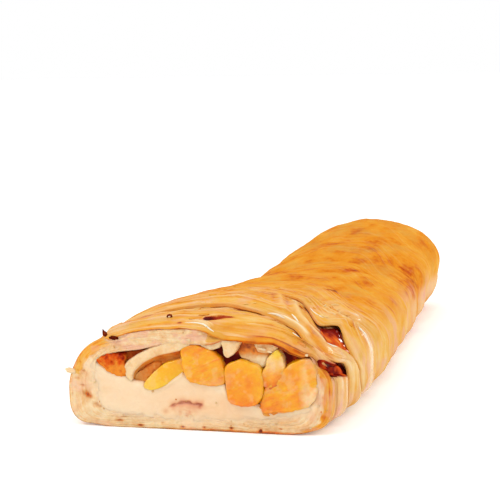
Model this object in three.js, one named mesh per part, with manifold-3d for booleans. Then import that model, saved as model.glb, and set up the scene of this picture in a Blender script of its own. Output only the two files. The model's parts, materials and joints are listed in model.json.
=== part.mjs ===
// Peach strudel, cut open at its near end: a lapped puff-pastry crust round cream and peaches.
// Millimetres, +Z up, +Y along the loaf away from the cut face, +X to the right of the cut.
import * as THREE from 'three';
import { mergeVertices } from 'three/addons/utils/BufferGeometryUtils.js';
import Module from 'manifold-3d';

// ---- driving dimensions ----
const loafLength = 330;
const gap = 0.3; // air kept between two separate pieces
const endRound = 26; // length over which the far end closes
const endPower = 2.3; // roundness of that end
const endWidth = 0.35; // share of the width that is left where it has closed
const endHeight = 0.4; // and share of the height
const bellyShare = 0.4; // where the loaf is widest, as a share of its height
const lipHeight = 2.6; // how far the front edge of a strip stands over the one before it
const pillow = 1.1; // swell in the middle of a strip
const sideSwell = 1.8; // and how much more it swells at the sides, down to the foot
const leftWall = 16; // pastry left of the filling
const rightWall = 9; // and right of it
const floorWall = 5.2; // pastry under the filling
const roofWall = 6; // pastry over the filling
const endWall = 20; // pastry behind the filling
const pocketDepth = 25; // how far the open space under the roof goes back
const creamTop = 17; // upper face of the cream on the left
const creamLow = 9.6; // and on the right, under the fruit
const creamFall = [8, 15]; // it falls from one to the other between these two places across
const creamWave = { high: 0.6, along: 17, across: 9 };
const coreBelly = 0.42; // where the space inside is widest, as a share of its height
const coreShape = 2.8; // roundness of its section
const coreTaper = 0.35; // how much it narrows at its far end
const coreTaperLength = 22;
const jamSink = [-1.2, 0, -1.6]; // the jam in the folds lies this far under the skin
const bottomShape = 5; // roundness of the lower corners, higher is squarer
const flatShare = 1.04; // more than 1 leaves a flat underside
const columns = 40;
const coreColumns = 20;

// The loaf along its length: distance from the cut, sideways drift, half width, height,
// and how square the left and right shoulders are.
const stations = [
  { at: 0, drift: -0.8, half: 49.4, high: 38.2, left: 2.5, right: 2.5 },
  { at: 55, drift: 1, half: 51, high: 40, left: 2.3, right: 2.2 },
  { at: 110, drift: 2, half: 49.8, high: 38.6, left: 2.2, right: 2.2 },
  { at: 165, drift: 2.6, half: 48.2, high: 35.4, left: 1.9, right: 2.4 },
  { at: 215, drift: 3.6, half: 45.2, high: 35, left: 1.8, right: 2.7 },
  { at: 265, drift: 6.2, half: 42, high: 41.6, left: 1.7, right: 2.7 },
  { at: 300, drift: 7, half: 41.4, high: 49.4, left: 1.9, right: 2.6 },
  { at: loafLength, drift: 7, half: 41.4, high: 50.2, left: 2, right: 2.6 },
];

// Front edge of each strip on the crown. From there it swings towards the cut on the right
// shoulder and tucks back again down the right side; on the left it leans a little to the cut.
// begin is where the swing begins, as a share of the way from the crown to the right side.
const swingSpan = 0.68;
const strips = [
  { front: -34, swing: 0, tuck: 0, lean: 0, begin: 0.12 },
  { front: 2.4, swing: 0, tuck: 17, lean: 0.6, begin: 0.12 },
  { front: 38, swing: 26, tuck: 22, lean: 9, begin: 0.2 },
  { front: 88, swing: 30, tuck: 12, lean: 20, begin: 0.2 },
  { front: 120, swing: 44, tuck: 8, lean: 12, begin: 0.12 },
  { front: 155, swing: 44, tuck: 6, lean: 9, begin: 0.12 },
  { front: 190, swing: 40, tuck: 6, lean: 9, begin: 0.12 },
  { front: 224, swing: 34, tuck: 5, lean: 9, begin: 0.12 },
  { front: 258, swing: 26, tuck: 4, lean: 8, begin: 0.12 },
  { front: 290, swing: 14, tuck: 2, lean: 5, begin: 0.12 },
];
const stripRows = [0, 0.03, 0.12, 0.35, 0.6, 0.82];
const endRows = [0.1, 0.26, 0.42, 0.58, 0.72, 0.84, 0.93, 0.985];

// ---- small helpers ----
const lerp = (a, b, t) => a + (b - a) * t;
const smooth = (x, low, high) => THREE.MathUtils.smoothstep(x, low, high);
const power = (x, p) => Math.sign(x) * Math.abs(x) ** p;

function stationAt(y) {
  const last = stations.length - 1;
  const k = Math.max(0, Math.min(last - 1, stations.findIndex((s) => s.at > y) - 1));
  const from = stations[y >= loafLength ? last - 1 : k];
  const to = stations[y >= loafLength ? last : k + 1];
  const t = smooth(y, from.at, to.at);
  return Object.fromEntries(Object.keys(from).map((key) => [key, lerp(from[key], to[key], t)]));
}

// A point of the plain loaf section; turn runs from straight down (-90 degrees) anticlockwise.
function sectionPoint(y, turn, out = 0) {
  const s = stationAt(y);
  const closing = Math.max(0, (y - loafLength + endRound) / endRound);
  const open = Math.max(0, 1 - closing ** endPower) ** (1 / endPower);
  const belly = bellyShare * s.high;
  const c = Math.cos(turn);
  const n = Math.sin(turn);
  const shape = n > 0 ? (c > 0 ? s.right : s.left) : bottomShape;
  const across = (s.half + out) * power(c, 2 / shape);
  const lift = n > 0
    ? (s.high + out - belly) * power(n, 2 / shape)
    : -belly * Math.min(1, flatShare * Math.abs(n) ** (2 / shape));
  const wide = open > 0 ? lerp(endWidth, 1, open) : 0;
  const tall = open > 0 ? lerp(endHeight, 1, open) : 0;
  return { x: s.drift + across * wide, z: belly + lift * tall };
}

// Rings of equal length become one closed body: side faces, and a fan over each end.
function loft(rings) {
  const n = rings[0].length;
  const points = rings.flat();
  for (const ring of [rings[0], rings.at(-1)]) {
    const middle = new THREE.Vector3();
    ring.forEach((p) => middle.addScaledVector(p, 1 / n));
    points.push(middle);
  }
  const index = [];
  const first = points.length - 2;
  const back = n * (rings.length - 1);
  for (let j = 0; j < n; j++) {
    const next = (j + 1) % n;
    for (let i = 0; i + 1 < rings.length; i++) {
      const a = i * n + j;
      const b = i * n + next;
      index.push(a, b + n, b, a, a + n, b + n);
    }
    index.push(first, j, next, first + 1, back + next, back + j);
  }
  const geometry = new THREE.BufferGeometry().setFromPoints(points);
  geometry.setIndex(index);
  return geometry;
}

const wasm = await Module();
wasm.setup();

function toSolid(geometry) {
  const merged = mergeVertices(geometry.clone().deleteAttribute('normal').deleteAttribute('uv'), 1e-4);
  return new wasm.Manifold(new wasm.Mesh({
    numProp: 3,
    vertProperties: Float32Array.from(merged.attributes.position.array),
    triVerts: Uint32Array.from(merged.index.array),
  }));
}

function toMesh(name, solid, material) {
  const parts = solid.decompose().sort((a, b) => b.volume() - a.volume());
  const mesh = parts[0].getMesh();
  const geometry = new THREE.BufferGeometry();
  geometry.setAttribute('position', new THREE.BufferAttribute(Float32Array.from(mesh.vertProperties), 3));
  geometry.setIndex(new THREE.BufferAttribute(Uint32Array.from(mesh.triVerts), 1));
  const result = new THREE.Mesh(geometry, material);
  result.name = name;
  return result;
}

function block(x0, x1, y0, y1, z0, z1) {
  const box = new THREE.BoxGeometry(x1 - x0, y1 - y0, z1 - z0);
  box.translate((x0 + x1) / 2, (y0 + y1) / 2, (z0 + z1) / 2);
  return toSolid(box);
}

function ellipsoid([x, y, z], [rx, ry, rz], grow = 0) {
  const ball = new THREE.SphereGeometry(1, 12, 8);
  ball.scale(rx + grow, ry + grow, rz + grow);
  ball.translate(x, y, z);
  return toSolid(ball);
}

// ---- crust: strips lapped over one another, each front edge lying on the strip before it ----
function stripFront(i, turn) {
  const across = Math.cos(turn);
  const { front, swing, tuck, lean, begin } = strips[i];
  const back = tuck * smooth(across, 0.78, 1) - swing * smooth(across, begin, begin + swingSpan);
  return front + back - lean * smooth(-across, 0.25, 0.95);
}

function crustPoint(y, t, turn, fade) {
  const raised = fade * smooth(Math.sin(turn), -0.95, 0.6);
  const step = t < stripRows[1] ? t / stripRows[1] : 1 - 0.9 * (t - stripRows[1]);
  const swell = pillow * raised + sideSwell * fade * smooth(Math.abs(Math.cos(turn)), 0.5, 1);
  const out = raised * lipHeight * step + swell * Math.sin(Math.PI * t);
  const p = sectionPoint(y, turn, out);
  return new THREE.Vector3(p.x, y, p.z);
}

function crustRings() {
  const turns = Array.from({ length: columns }, (_, j) => -Math.PI / 2 + (2 * Math.PI * j) / columns);
  const rings = [];
  const addRing = (i, t, fade, nextFront) => {
    const place = (turn) => lerp(stripFront(i, turn), nextFront(turn), t);
    rings.push(turns.map((turn) => crustPoint(place(turn), t, turn, fade)));
  };
  const last = strips.length - 1;
  for (let i = 0; i < last; i++)
    for (const t of stripRows) addRing(i, t, 1, (turn) => stripFront(i + 1, turn));
  for (const t of [...stripRows.slice(0, 2), ...endRows]) addRing(last, t, 1 - t, () => loafLength);
  return rings;
}

// The space inside the crust; shrink leaves air round what fills it.
function coreRings(shrink) {
  const steps = 12;
  const rings = [];
  for (let i = 0; i <= steps; i++) {
    const y = lerp(-4, loafLength - endWall, i / steps) - (i === steps ? shrink : 0);
    const s = stationAt(Math.max(0, y));
    const coreEnd = loafLength - endWall;
    const taper = 1 - coreTaper * smooth(y, coreEnd - coreTaperLength, coreEnd);
    const halves = [s.half - leftWall - shrink, s.half - rightWall - shrink];
    const low = floorWall + shrink;
    const high = s.high - roofWall - shrink;
    const belly = lerp(low, high, coreBelly);
    rings.push(Array.from({ length: coreColumns }, (_, j) => {
      const turn = -Math.PI / 2 + (2 * Math.PI * j) / coreColumns;
      const c = power(Math.cos(turn), 2 / coreShape);
      const n = power(Math.sin(turn), 2 / coreShape);
      const z = belly + (n > 0 ? high - belly : belly - low) * n * taper;
      return new THREE.Vector3(s.drift + halves[c > 0 ? 1 : 0] * taper * c, y, z);
    }));
  }
  return rings;
}

// ---- pieces with a drawn section at the cut: outline in x and z, run back along y ----
const pieceRows = [
  { back: 0, size: 0.95 }, { back: 0.05, size: 1 }, { back: 0.55, size: 0.98 },
  { back: 0.85, size: 0.85 }, { back: 1, size: 0.6 },
];

function pieceSolid({ outline, front, depth, rows = pieceRows, steps = 17 }, grow = 0) {
  const curve = new THREE.CatmullRomCurve3(outline.map(([x, z]) => new THREE.Vector3(x, 0, z)), true);
  const ring = curve.getSpacedPoints(steps).slice(0, steps);
  const clockwise = THREE.ShapeUtils.area(ring.map((p) => new THREE.Vector2(p.x, p.z))) < 0;
  if (clockwise) ring.reverse();
  const middle = new THREE.Vector3();
  ring.forEach((p) => middle.addScaledVector(p, 1 / steps));
  const outward = ring.map((_, j) => {
    const along = ring[(j + 1) % steps].clone().sub(ring[(j + steps - 1) % steps]);
    return new THREE.Vector3(along.z, 0, -along.x).setLength(grow);
  });
  const rings = rows.map(({ back, size }) => ring.map((p, j) => {
    const arm = p.clone().sub(middle).multiplyScalar(size);
    return arm.add(middle).add(outward[j]).setY(front + back * depth + (back < 0.5 ? -grow : grow));
  }));
  return toSolid(loft(rings));
}

const peaches = {
  peach_slice_left: {
    outline: [[-22.4, 15.6], [-18.7, 20.8], [-14.6, 23.4], [-9.4, 25.6], [-5.4, 26.6], [-5, 20.2],
      [-12.7, 16.4], [-17, 14.8]],
    front: 0, depth: 30,
  },
  peach_slice_middle: {
    outline: [[-6, 30.4], [-3.4, 31.9], [1.4, 31.2], [6.2, 29.2], [10.1, 25.6], [11.4, 21.3], [10.6, 17.9],
      [5.3, 17.5], [-0.6, 18.5], [-4.6, 20.6]],
    front: -0.4, depth: 34,
  },
  peach_chunk: {
    outline: [[12.2, 23.8], [14, 26], [17.2, 27.2], [21.1, 26.6], [24.7, 24.2], [25.6, 19.6], [24.4, 14.8],
      [21.1, 11.4], [17.2, 11.4], [14, 13.2], [12.4, 17]],
    front: -0.8, depth: 26,
  },
  peach_wedge: {
    outline: [[29.6, 30.8], [31.5, 30.6], [33.1, 28], [34, 25], [32.4, 22.6], [28.9, 21.6], [26.8, 22.6],
      [27.4, 27]],
    front: 0.2, depth: 22,
  },
  peach_slice_right: {
    outline: [[34.6, 25.4], [37.2, 27.4], [40.6, 27], [42.2, 22], [41.6, 15], [38.6, 10.6], [33.4, 10],
      [28.6, 10.4], [26.4, 13.6], [26.6, 19], [29.4, 20.6], [33.4, 21.8]],
    front: -0.4, depth: 32,
  },
};

// The dough roll inside: a pale edge at the cut, and its browned inner face set back behind it.
const rollEdge = {
  outline: [[-31.8, 17.2], [-30.1, 22.6], [-26, 26.3], [-20.7, 29.3], [-14.6, 31.5], [-6.5, 34.5],
    [-5, 32.2], [-12.6, 30.1], [-18.6, 27.8], [-23.5, 24.5], [-26.6, 20.4], [-26.4, 16.6]],
  front: 0.2, depth: 46, rows: [{ back: 0, size: 1 }, { back: 1, size: 1 }], steps: 20,
};
const rollInside = {
  outline: [[-28, 18], [-24.5, 24.5], [-18.6, 28.4], [-10, 32], [-5.6, 33], [-5.2, 29], [-10.6, 27.2],
    [-16, 24.4], [-20.4, 21], [-23.6, 17.4]],
  front: 5, depth: 38, rows: [{ back: 0, size: 1 }, { back: 1, size: 1 }], steps: 18,
};

// Jam that has run out: one bit at the cut, two in the open folds of the right shoulder.
const jamLeft = {
  outline: [[-39.4, 23.4], [-36.6, 24.8], [-33.4, 24.8], [-32.6, 22.4], [-33.6, 20], [-36.2, 20.8]],
  front: 0, depth: 16, steps: 12,
};
const jamFolds = {
  jam_fold_upper: { at: [41.5, 49, 34.5], size: [7.5, 14, 7] },
  jam_fold_lower: { at: [48.5, 25, 24], size: [5, 12, 6.5] },
};

// ---- filling: cream below, fruit above it ----
function creamHeight(x, y) {
  const wave = creamWave.high * Math.sin(y / creamWave.along + x / creamWave.across);
  return lerp(creamTop, creamLow, smooth(x, ...creamFall)) + wave;
}

function creamRegion(lift) {
  const reach = 60;
  const across = 10;
  const along = 9;
  const rings = Array.from({ length: along + 1 }, (_, i) => {
    const y = lerp(-2, loafLength, i / along);
    const top = Array.from({ length: across + 1 }, (_, j) => {
      const x = lerp(reach, -reach, j / across);
      return new THREE.Vector3(x, y, creamHeight(x, y) + lift);
    });
    return [new THREE.Vector3(-reach, y, -1), new THREE.Vector3(reach, y, -1), ...top];
  });
  return toSolid(loft(rings));
}

// ---- put together ----
const beyond = 100; // more than the loaf reaches to any side or upwards
const beyondCut = block(-beyond, beyond, 0, loafLength + beyond, -beyond, beyond);
const roll = pieceSolid(rollEdge).add(pieceSolid(rollInside));
const rollRoom = pieceSolid(rollEdge, gap).add(pieceSolid(rollInside, gap));

const fruitRooms = Object.values(peaches).map((piece) => pieceSolid(piece, gap));
const allRooms = fruitRooms.reduce((sum, room) => sum.add(room)).add(pieceSolid(jamLeft, gap));

const loaf = toSolid(loft(crustRings())).intersect(beyondCut);
let crust = loaf.subtract(toSolid(loft(coreRings(0)))).subtract(allRooms);
crust = crust.add(roll.intersect(loaf));
let fillSpace = toSolid(loft(coreRings(gap))).subtract(rollRoom).subtract(allRooms);
for (const fold of Object.values(jamFolds)) {
  crust = crust.subtract(ellipsoid(fold.at, fold.size));
  fillSpace = fillSpace.subtract(ellipsoid(fold.at, fold.size));
}
const cream = fillSpace.intersect(creamRegion(0)).intersect(beyondCut);
const fruitBed = fillSpace.subtract(creamRegion(gap))
  .intersect(block(-beyond, beyond, pocketDepth, loafLength, -beyond, beyond));

const finish = (color, roughness) => new THREE.MeshStandardMaterial({ color, roughness, metalness: 0 });
const strudel = new THREE.Group();
strudel.add(toMesh('pastry', crust, finish(0xe3a04a, 0.5)));
strudel.add(toMesh('cream_filling', cream, finish(0xf6e6d2, 0.45)));
strudel.add(toMesh('peach_filling', fruitBed, finish(0xf2a93a, 0.35)));

const taken = [];
Object.entries(peaches).forEach(([name, piece], i) => {
  let shape = pieceSolid(piece).subtract(rollRoom);
  taken.forEach((room) => { shape = shape.subtract(room); });
  taken.push(fruitRooms[i]);
  strudel.add(toMesh(name, shape, finish(0xf6a81f, 0.3)));
});

strudel.add(toMesh('jam_cut', pieceSolid(jamLeft).subtract(rollRoom), finish(0xb5481a, 0.2)));
const underSkin = toSolid(loft(crustRings())).translate(jamSink);
for (const [name, fold] of Object.entries(jamFolds)) {
  const shape = ellipsoid(fold.at, fold.size, -gap).intersect(underSkin);
  strudel.add(toMesh(name, shape, finish(0x5a130b, 0.12)));
}

// The origin goes to the middle of the underside.
const extent = new THREE.Box3().setFromObject(strudel);
strudel.position.set(-(extent.min.x + extent.max.x) / 2, -(extent.min.y + extent.max.y) / 2, -extent.min.z);
strudel.updateMatrixWorld(true);

export default strudel;
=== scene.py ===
import json
import math

import bpy
import numpy as np
from mathutils import Euler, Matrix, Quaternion, Vector
from mathutils.bvhtree import BVHTree

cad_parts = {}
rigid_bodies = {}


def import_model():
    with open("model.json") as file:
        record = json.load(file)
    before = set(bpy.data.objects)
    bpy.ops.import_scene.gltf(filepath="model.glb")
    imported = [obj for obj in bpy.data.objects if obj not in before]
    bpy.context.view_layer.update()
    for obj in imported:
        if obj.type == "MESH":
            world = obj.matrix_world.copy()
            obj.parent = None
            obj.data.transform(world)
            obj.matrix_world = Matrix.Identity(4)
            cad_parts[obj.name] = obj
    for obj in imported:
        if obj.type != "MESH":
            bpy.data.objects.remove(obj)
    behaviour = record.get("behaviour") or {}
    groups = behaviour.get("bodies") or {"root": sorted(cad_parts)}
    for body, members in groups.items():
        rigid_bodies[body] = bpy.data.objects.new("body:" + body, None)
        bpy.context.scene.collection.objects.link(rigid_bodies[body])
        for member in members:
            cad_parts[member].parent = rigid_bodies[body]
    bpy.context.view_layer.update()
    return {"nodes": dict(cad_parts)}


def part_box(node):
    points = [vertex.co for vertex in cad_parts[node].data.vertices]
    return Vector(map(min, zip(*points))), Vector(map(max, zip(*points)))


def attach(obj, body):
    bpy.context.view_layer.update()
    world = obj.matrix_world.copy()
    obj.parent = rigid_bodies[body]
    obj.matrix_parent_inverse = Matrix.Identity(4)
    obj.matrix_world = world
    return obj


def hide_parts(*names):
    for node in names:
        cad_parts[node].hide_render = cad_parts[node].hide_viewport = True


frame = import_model()
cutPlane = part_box("pastry")[0].y  # where the cut lies in the frame

# Loaf millimetres: x across, y back from the cut, z up. toFrame turns them into the frame's metres.
loaf = {
    "length": 330.0,
    "endRound": 26.0,  # length over which the closed end rounds off
    "lipHeight": 2.6,  # front edge of a strip over the one before it
    "pillow": 1.1,
    "sideSwell": 1.1,
    "bottomShape": 5.0,
    "flatShare": 1.04,
    "endPower": 2.3,
    "footTuck": 7.0,  # how far the foot of the right side is drawn in at the far end
    "middleShift": -0.8812,  # where the loaf's own middle line lies in the frame
}

# distance from the cut, sideways drift, half width, height, squareness of left and right shoulder
stations = np.array([
    (0, -0.5, 49.9, 38.7, 2.45, 2.5),
    (55, 2.1, 50.8, 41.4, 2.15, 2.2),
    (110, 2.2, 50.8, 37.5, 2.5, 2.2),
    (165, 2, 47.8, 35, 2, 2.4),
    (215, 3.4, 44.8, 34.8, 1.75, 2.65),
    (265, 5.9, 42.9, 42, 1.95, 2.6),
    (300, 6.6, 43.8, 49.4, 1.53, 2.4),
    (330, 7.1, 42.9, 50, 1.53, 2.45),
])

# front edge of each strip on the crown, its swing to the cut on the right shoulder, its tuck
# down the right side, its lean on the left, and where on the shoulder the swing begins
strips = [
    (-34, 0, 0, 0, 0.12), (2.4, 0, 17, 0.6, 0.12), (38, 26, 18, 9, 0.2), (88, 30, 12, 20, 0.2),
    (120, 44, 8, 12, 0.12), (155, 44, 6, 9, 0.12), (190, 40, 6, 9, 0.12), (224, 34, 5, 9, 0.12),
    (258, 26, 4, 8, 0.12), (290, 14, 2, 5, 0.12),
]
swingSpan = 0.68  # how far round the shoulder the swing takes
routes = {  # where the first edges run down the right side: turn in degrees, y
    1: [(-75, 14), (-30, 15), (-8, 14.6), (3, 13.6), (10, 11), (16, 6.6), (21, 3.4), (28, 2.4), (55, 2.4),
        (90, 2.4)],
    2: [(-75, 42), (-40, 37), (-10, 31), (2.5, 29), (8.5, 27.4), (13, 24), (16, 18), (20, 12.6), (26, 9),
        (34, 8.6), (41.5, 10.5), (46, 14), (53, 19), (60, 22.5), (67, 25.5), (76, 31), (90, 38)],
    3: [(-75, 64), (-30, 58), (-5, 49), (5, 43), (12, 39), (20, 39), (26, 41.5), (32, 45.5), (36, 47.5),
        (39.5, 43), (43, 36.5), (47, 37.5), (53.5, 45), (59.5, 54.5), (66.5, 67), (77, 79), (90, 88)],
}


# helpers for numbers

def smooth(x, low, high):
    t = np.clip((x - low) / (high - low), 0, 1)
    return t * t * (3 - 2 * t)


def mix(a, b, t):
    return a + (b - a) * t


def power(x, p):
    return np.sign(x) * np.abs(x) ** p


def bump(distance, size):
    return np.exp(-(distance / size) ** 2)


def lattice(points, seed):
    # smooth value noise from -1 to 1, one number for each point
    cell = np.floor(points).astype(np.int64)
    part = points - cell
    part = part ** 3 * (part * (part * 6 - 15) + 10)
    total = np.zeros(points.shape[:-1])
    for corner in np.ndindex(2, 2, 2):
        spot = cell + np.array(corner)
        code = spot[..., 0] * 73856093 ^ spot[..., 1] * 19349663 ^ spot[..., 2] * 83492791 ^ seed * 40503
        code = ((code ^ (code >> 13)) * 1274126177) & 0xFFFFFFFF
        code = ((code ^ (code >> 15)) * 668265263) & 0xFFFFFFFF
        value = ((code >> 8) & 0xFFFF) / 32767.5 - 1
        weight = np.prod(np.where(corner, part, 1 - part), axis=-1)
        total += value * weight
    return total


def noise(x, y, z, size, seed, octaves=3):
    # size may be one number or one for each axis
    sizes = np.broadcast_to(np.asarray(size, float), (3,))
    points = np.stack(np.broadcast_arrays(x / sizes[0], y / sizes[1], z / sizes[2]), -1)
    total = np.zeros(points.shape[:-1])
    for octave in range(octaves):
        total += lattice(points * 2.03 ** octave + 17.3 * octave, seed + octave) * 0.5 ** octave
    return total / (2 - 0.5 ** (octaves - 1))


def pathDistance(x, y, path):
    # distance to a bent line, and how far along it (0 to 1) the nearest place is
    best = np.full(np.shape(x), 1e9)
    along = np.zeros(np.shape(x))
    for k, ((x0, y0), (x1, y1)) in enumerate(zip(path, path[1:])):
        dx, dy = x1 - x0, y1 - y0
        t = np.clip(((x - x0) * dx + (y - y0) * dy) / (dx * dx + dy * dy), 0, 1)
        far = np.hypot(x - x0 - t * dx, y - y0 - t * dy)
        along = np.where(far < best, (k + t) / (len(path) - 1), along)
        best = np.minimum(best, far)
    return best, along


def insideOutline(u, v, outline):
    # distance to a closed outline, more than 0 inside it
    ring = list(outline) + [outline[0]]
    away = pathDistance(u, v, ring)[0]
    inside = np.zeros(np.shape(u), bool)
    for (u0, v0), (u1, v1) in zip(ring, ring[1:]):
        crosses = (v0 > v) != (v1 > v)
        at = u0 + (v - v0) * (u1 - u0) / (v1 - v0 if v1 != v0 else 1e-9)
        inside ^= crosses & (u < at)
    return np.where(inside, away, -away)


def roundCurve(points, count, closed=True):
    # even steps along a Catmull-Rom curve through the points
    points = np.asarray(points, float)
    if closed:
        wide = np.concatenate([points[-1:], points, points[:2]])
    else:
        wide = np.concatenate([2 * points[:1] - points[1:2], points, 2 * points[-1:] - points[-2:-1]])
    t = np.linspace(0, 1, 24, endpoint=False)[:, None]
    fine = []
    for a, b, c, d in zip(wide, wide[1:], wide[2:], wide[3:]):
        fine.append(0.5 * (2 * b + (c - a) * t + (2 * a - 5 * b + 4 * c - d) * t ** 2
                           + (3 * b - a - 3 * c + d) * t ** 3))
    fine = np.concatenate(fine + [wide[-2:-1]])
    steps = np.hypot(*np.diff(fine, axis=0).T)
    walked = np.concatenate([[0], np.cumsum(steps)])
    wanted = np.linspace(0, walked[-1], count + 1 if closed else count)
    if closed:
        wanted = wanted[:-1]
    return np.stack([np.interp(wanted, walked, fine[:, k]) for k in range(fine.shape[1])], -1)


# the loaf's shape

def stationAt(y):
    k = np.clip(np.searchsorted(stations[:, 0], y, side="right") - 1, 0, len(stations) - 2)
    t = smooth(y, stations[k, 0], stations[k + 1, 0])
    return [mix(stations[k, c], stations[k + 1, c], t) for c in range(1, 6)]


def plainPoint(y, turn):
    drift, half, high, left, right = stationAt(y)
    closing = np.clip((y - loaf["length"] + loaf["endRound"]) / loaf["endRound"], 0, 1)
    opened = (1 - closing ** loaf["endPower"]) ** (1 / loaf["endPower"])
    belly = 0.4 * high
    across, up = np.cos(turn), np.sin(turn)
    shape = np.where(up > 0, np.where(across > 0, right, left), loaf["bottomShape"])
    x = drift + half * power(across, 2 / shape) * (0.35 + 0.65 * opened)
    x -= loaf["footTuck"] * smooth(y, 190, 310) * smooth(up, 0.35, -0.5) * smooth(across, 0, 0.6)
    below = -belly * np.minimum(1, loaf["flatShare"] * np.abs(up) ** (2 / shape))
    rise = np.where(up > 0, (high - belly) * power(np.abs(up), 2 / shape), below)
    return x, belly + rise * (0.4 + 0.6 * opened)


def skinPoint(y, turn, out):
    # a place that stands out from the plain loaf, square to its section
    x, z = plainPoint(y, turn)
    x1, z1 = plainPoint(y, turn + 0.03)
    x0, z0 = plainPoint(y, turn - 0.03)
    dx, dz = x1 - x0, z1 - z0
    size = np.maximum(np.hypot(dx, dz), 1e-9)
    return np.stack([x + out * dz / size, y + np.zeros_like(x), z - out * dx / size], -1)


def turnColumns(count, low, high):
    # turns that are evenly spaced round the middle of the loaf, and their place along it in mm
    corners = np.arange(-2, 5) * math.pi / 2
    close = np.geomspace(1e-10, 0.01, 80)
    fine = np.concatenate([np.linspace(low, high, 3000)] + [c + s * close for c in corners for s in (-1, 1)])
    fine = np.unique(np.clip(fine, low, high))
    x, z = plainPoint(np.full(fine.shape, 120.0), fine)
    walked = np.concatenate([[0], np.cumsum(np.hypot(np.diff(x), np.diff(z)))])
    arc = np.linspace(0, walked[-1], count)
    return np.interp(arc, walked, fine), arc


def stripFront(i, turn):
    front, swing, tuck, lean, begin = strips[i]
    across = np.cos(turn)
    back = tuck * smooth(across, 0.78, 1) - swing * smooth(across, begin, begin + swingSpan)
    y = front + back - lean * smooth(-across, 0.25, 0.95)
    if i in routes:
        turns, places = roundCurve(routes[i], 160, False).T
        y = np.where(turn < math.pi / 2, np.interp(np.degrees(turn), turns, places), y)
    return y


turnBack = {"strip": 1, "from": 0.66, "to": 0.75, "far": 24.0}  # its edge turns back on the left shoulder


def lipFront(i, turn):
    front = stripFront(i, turn)
    if i == turnBack["strip"]:
        front += turnBack["far"] * smooth(-np.cos(turn), turnBack["from"], turnBack["to"])
    return front


def raisedShare(turn):
    return smooth(np.sin(turn), -0.95, 0.6)


def stripHeight(t, turn, fade=1.0):
    raised = raisedShare(turn) * fade
    swell = loaf["pillow"] * raised + loaf["sideSwell"] * fade * smooth(np.abs(np.cos(turn)), 0.5, 1)
    lip = raised * loaf["lipHeight"] * (1 - 0.9 * (np.clip(t, 0, 1) - 0.03))
    return lip + swell * np.sin(math.pi * np.clip(t, 0, 1))


# meshes and pieces

def toFrame(points):
    moved = np.asarray(points, float).reshape(-1, 3) * 0.001
    moved[:, 0] += loaf["middleShift"] * 0.001
    moved[:, 1] += cutPlane
    return moved


def gridFaces(rows, columns, closed):
    index = np.arange(rows * columns).reshape(rows, columns)
    if closed:
        index = np.concatenate([index, index[:, :1]], axis=1)
    quads = np.stack([index[:-1, :-1], index[:-1, 1:], index[1:, 1:], index[1:, :-1]], -1)
    return quads.reshape(-1, 4)


def loft(rings, values):
    # rings of equal length become one closed body; each end is closed with a fan
    rows, columns = rings.shape[:2]
    points = rings.reshape(-1, 3)
    quads = gridFaces(rows, columns, True)
    ends = np.stack([rings[0].mean(0), rings[-1].mean(0)])
    first, last = rows * columns, rows * columns + 1
    near = np.arange(columns)
    ahead = np.roll(near, -1)
    far = near + (rows - 1) * columns
    fan = [np.stack([np.full(columns, first), ahead, near], -1),
           np.stack([np.full(columns, last), far, np.roll(far, -1)], -1)]
    whole = {key: np.concatenate([v.reshape(-1), [v[0].mean(), v[-1].mean()]]) for key, v in values.items()}
    return np.concatenate([points, ends]), [quads, *fan], whole


def gridBorder(rows, columns):
    index = np.arange(rows * columns).reshape(rows, columns)
    return np.concatenate([index[0, :-1], index[:-1, -1], index[-1, :0:-1], index[:0:-1, 0]])


def slab(front, rings):
    # a grid closes the front; its border runs back through rings that count as many points
    rows, columns = front.shape[:2]
    border = gridBorder(rows, columns)
    size = len(border)
    points = [front.reshape(-1, 3), rings.reshape(-1, 3), rings[-1].mean(0)[None]]
    start = rows * columns
    loops = [border] + [start + k * size + np.arange(size) for k in range(len(rings))]
    quads = [gridFaces(rows, columns, False)]
    for near, far in zip(loops, loops[1:]):
        quads.append(np.stack([np.roll(near, -1), near, far, np.roll(far, -1)], -1))
    last = loops[-1]
    fan = np.stack([np.roll(last, -1), last, np.full(size, start + rings.shape[0] * size)], -1)
    return np.concatenate(points), [np.concatenate(quads), fan]


class Rows:
    # rings of one body as they are made, each with its colour numbers

    def __init__(self, count):
        self.count = count
        self.rings = []
        self.numbers = []

    def add(self, points, paint):
        self.rings.append(points)
        self.numbers.append({key: np.broadcast_to(v, self.count).astype(float) for key, v in paint.items()})

    def arrays(self):
        values = {key: np.array([row[key] for row in self.numbers]) for key in self.numbers[0]}
        return np.array(self.rings), values


def joined(bodies):
    # several lofted bodies as one piece
    points, groups, total = [], [[], []], 0
    for body, faces, values in bodies:
        points.append(body)
        groups[0].append(faces[0] + total)
        groups[1].append(np.concatenate(faces[1:]) + total)
        total += len(body)
    values = {key: np.concatenate([body[2][key] for body in bodies]) for key in bodies[0][2]}
    return np.concatenate(points), [np.concatenate(group) for group in groups], values


def onTable(points):
    # nothing reaches below the table
    points[:, 2] = np.maximum(points[:, 2], 0)
    return points


def cornerTriangles(points, faces):
    # the triangles' point numbers, and the places of their first, second and third corners
    parts = []
    for group in faces:
        parts.append(group[:, [0, 1, 2]])
        if group.shape[1] == 4:
            parts.append(group[:, [0, 2, 3]])
    corners = np.concatenate(parts)
    return corners, *(points[corners[:, k]] for k in range(3))


def pointNormals(points, faces):
    corners, a, b, c = cornerTriangles(points, faces)
    flat = np.cross(b - a, c - a)
    normals = np.zeros_like(points)
    for k in range(3):
        np.add.at(normals, corners[:, k], flat)
    return normals / np.maximum(np.linalg.norm(normals, axis=1, keepdims=True), 1e-12)


def faceOutward(points, faces):
    corners, a, b, c = cornerTriangles(points, faces)
    volume = np.einsum("ij,ij->i", a, np.cross(b, c)).sum()
    return faces if volume > 0 else [group[:, ::-1] for group in faces]


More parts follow.
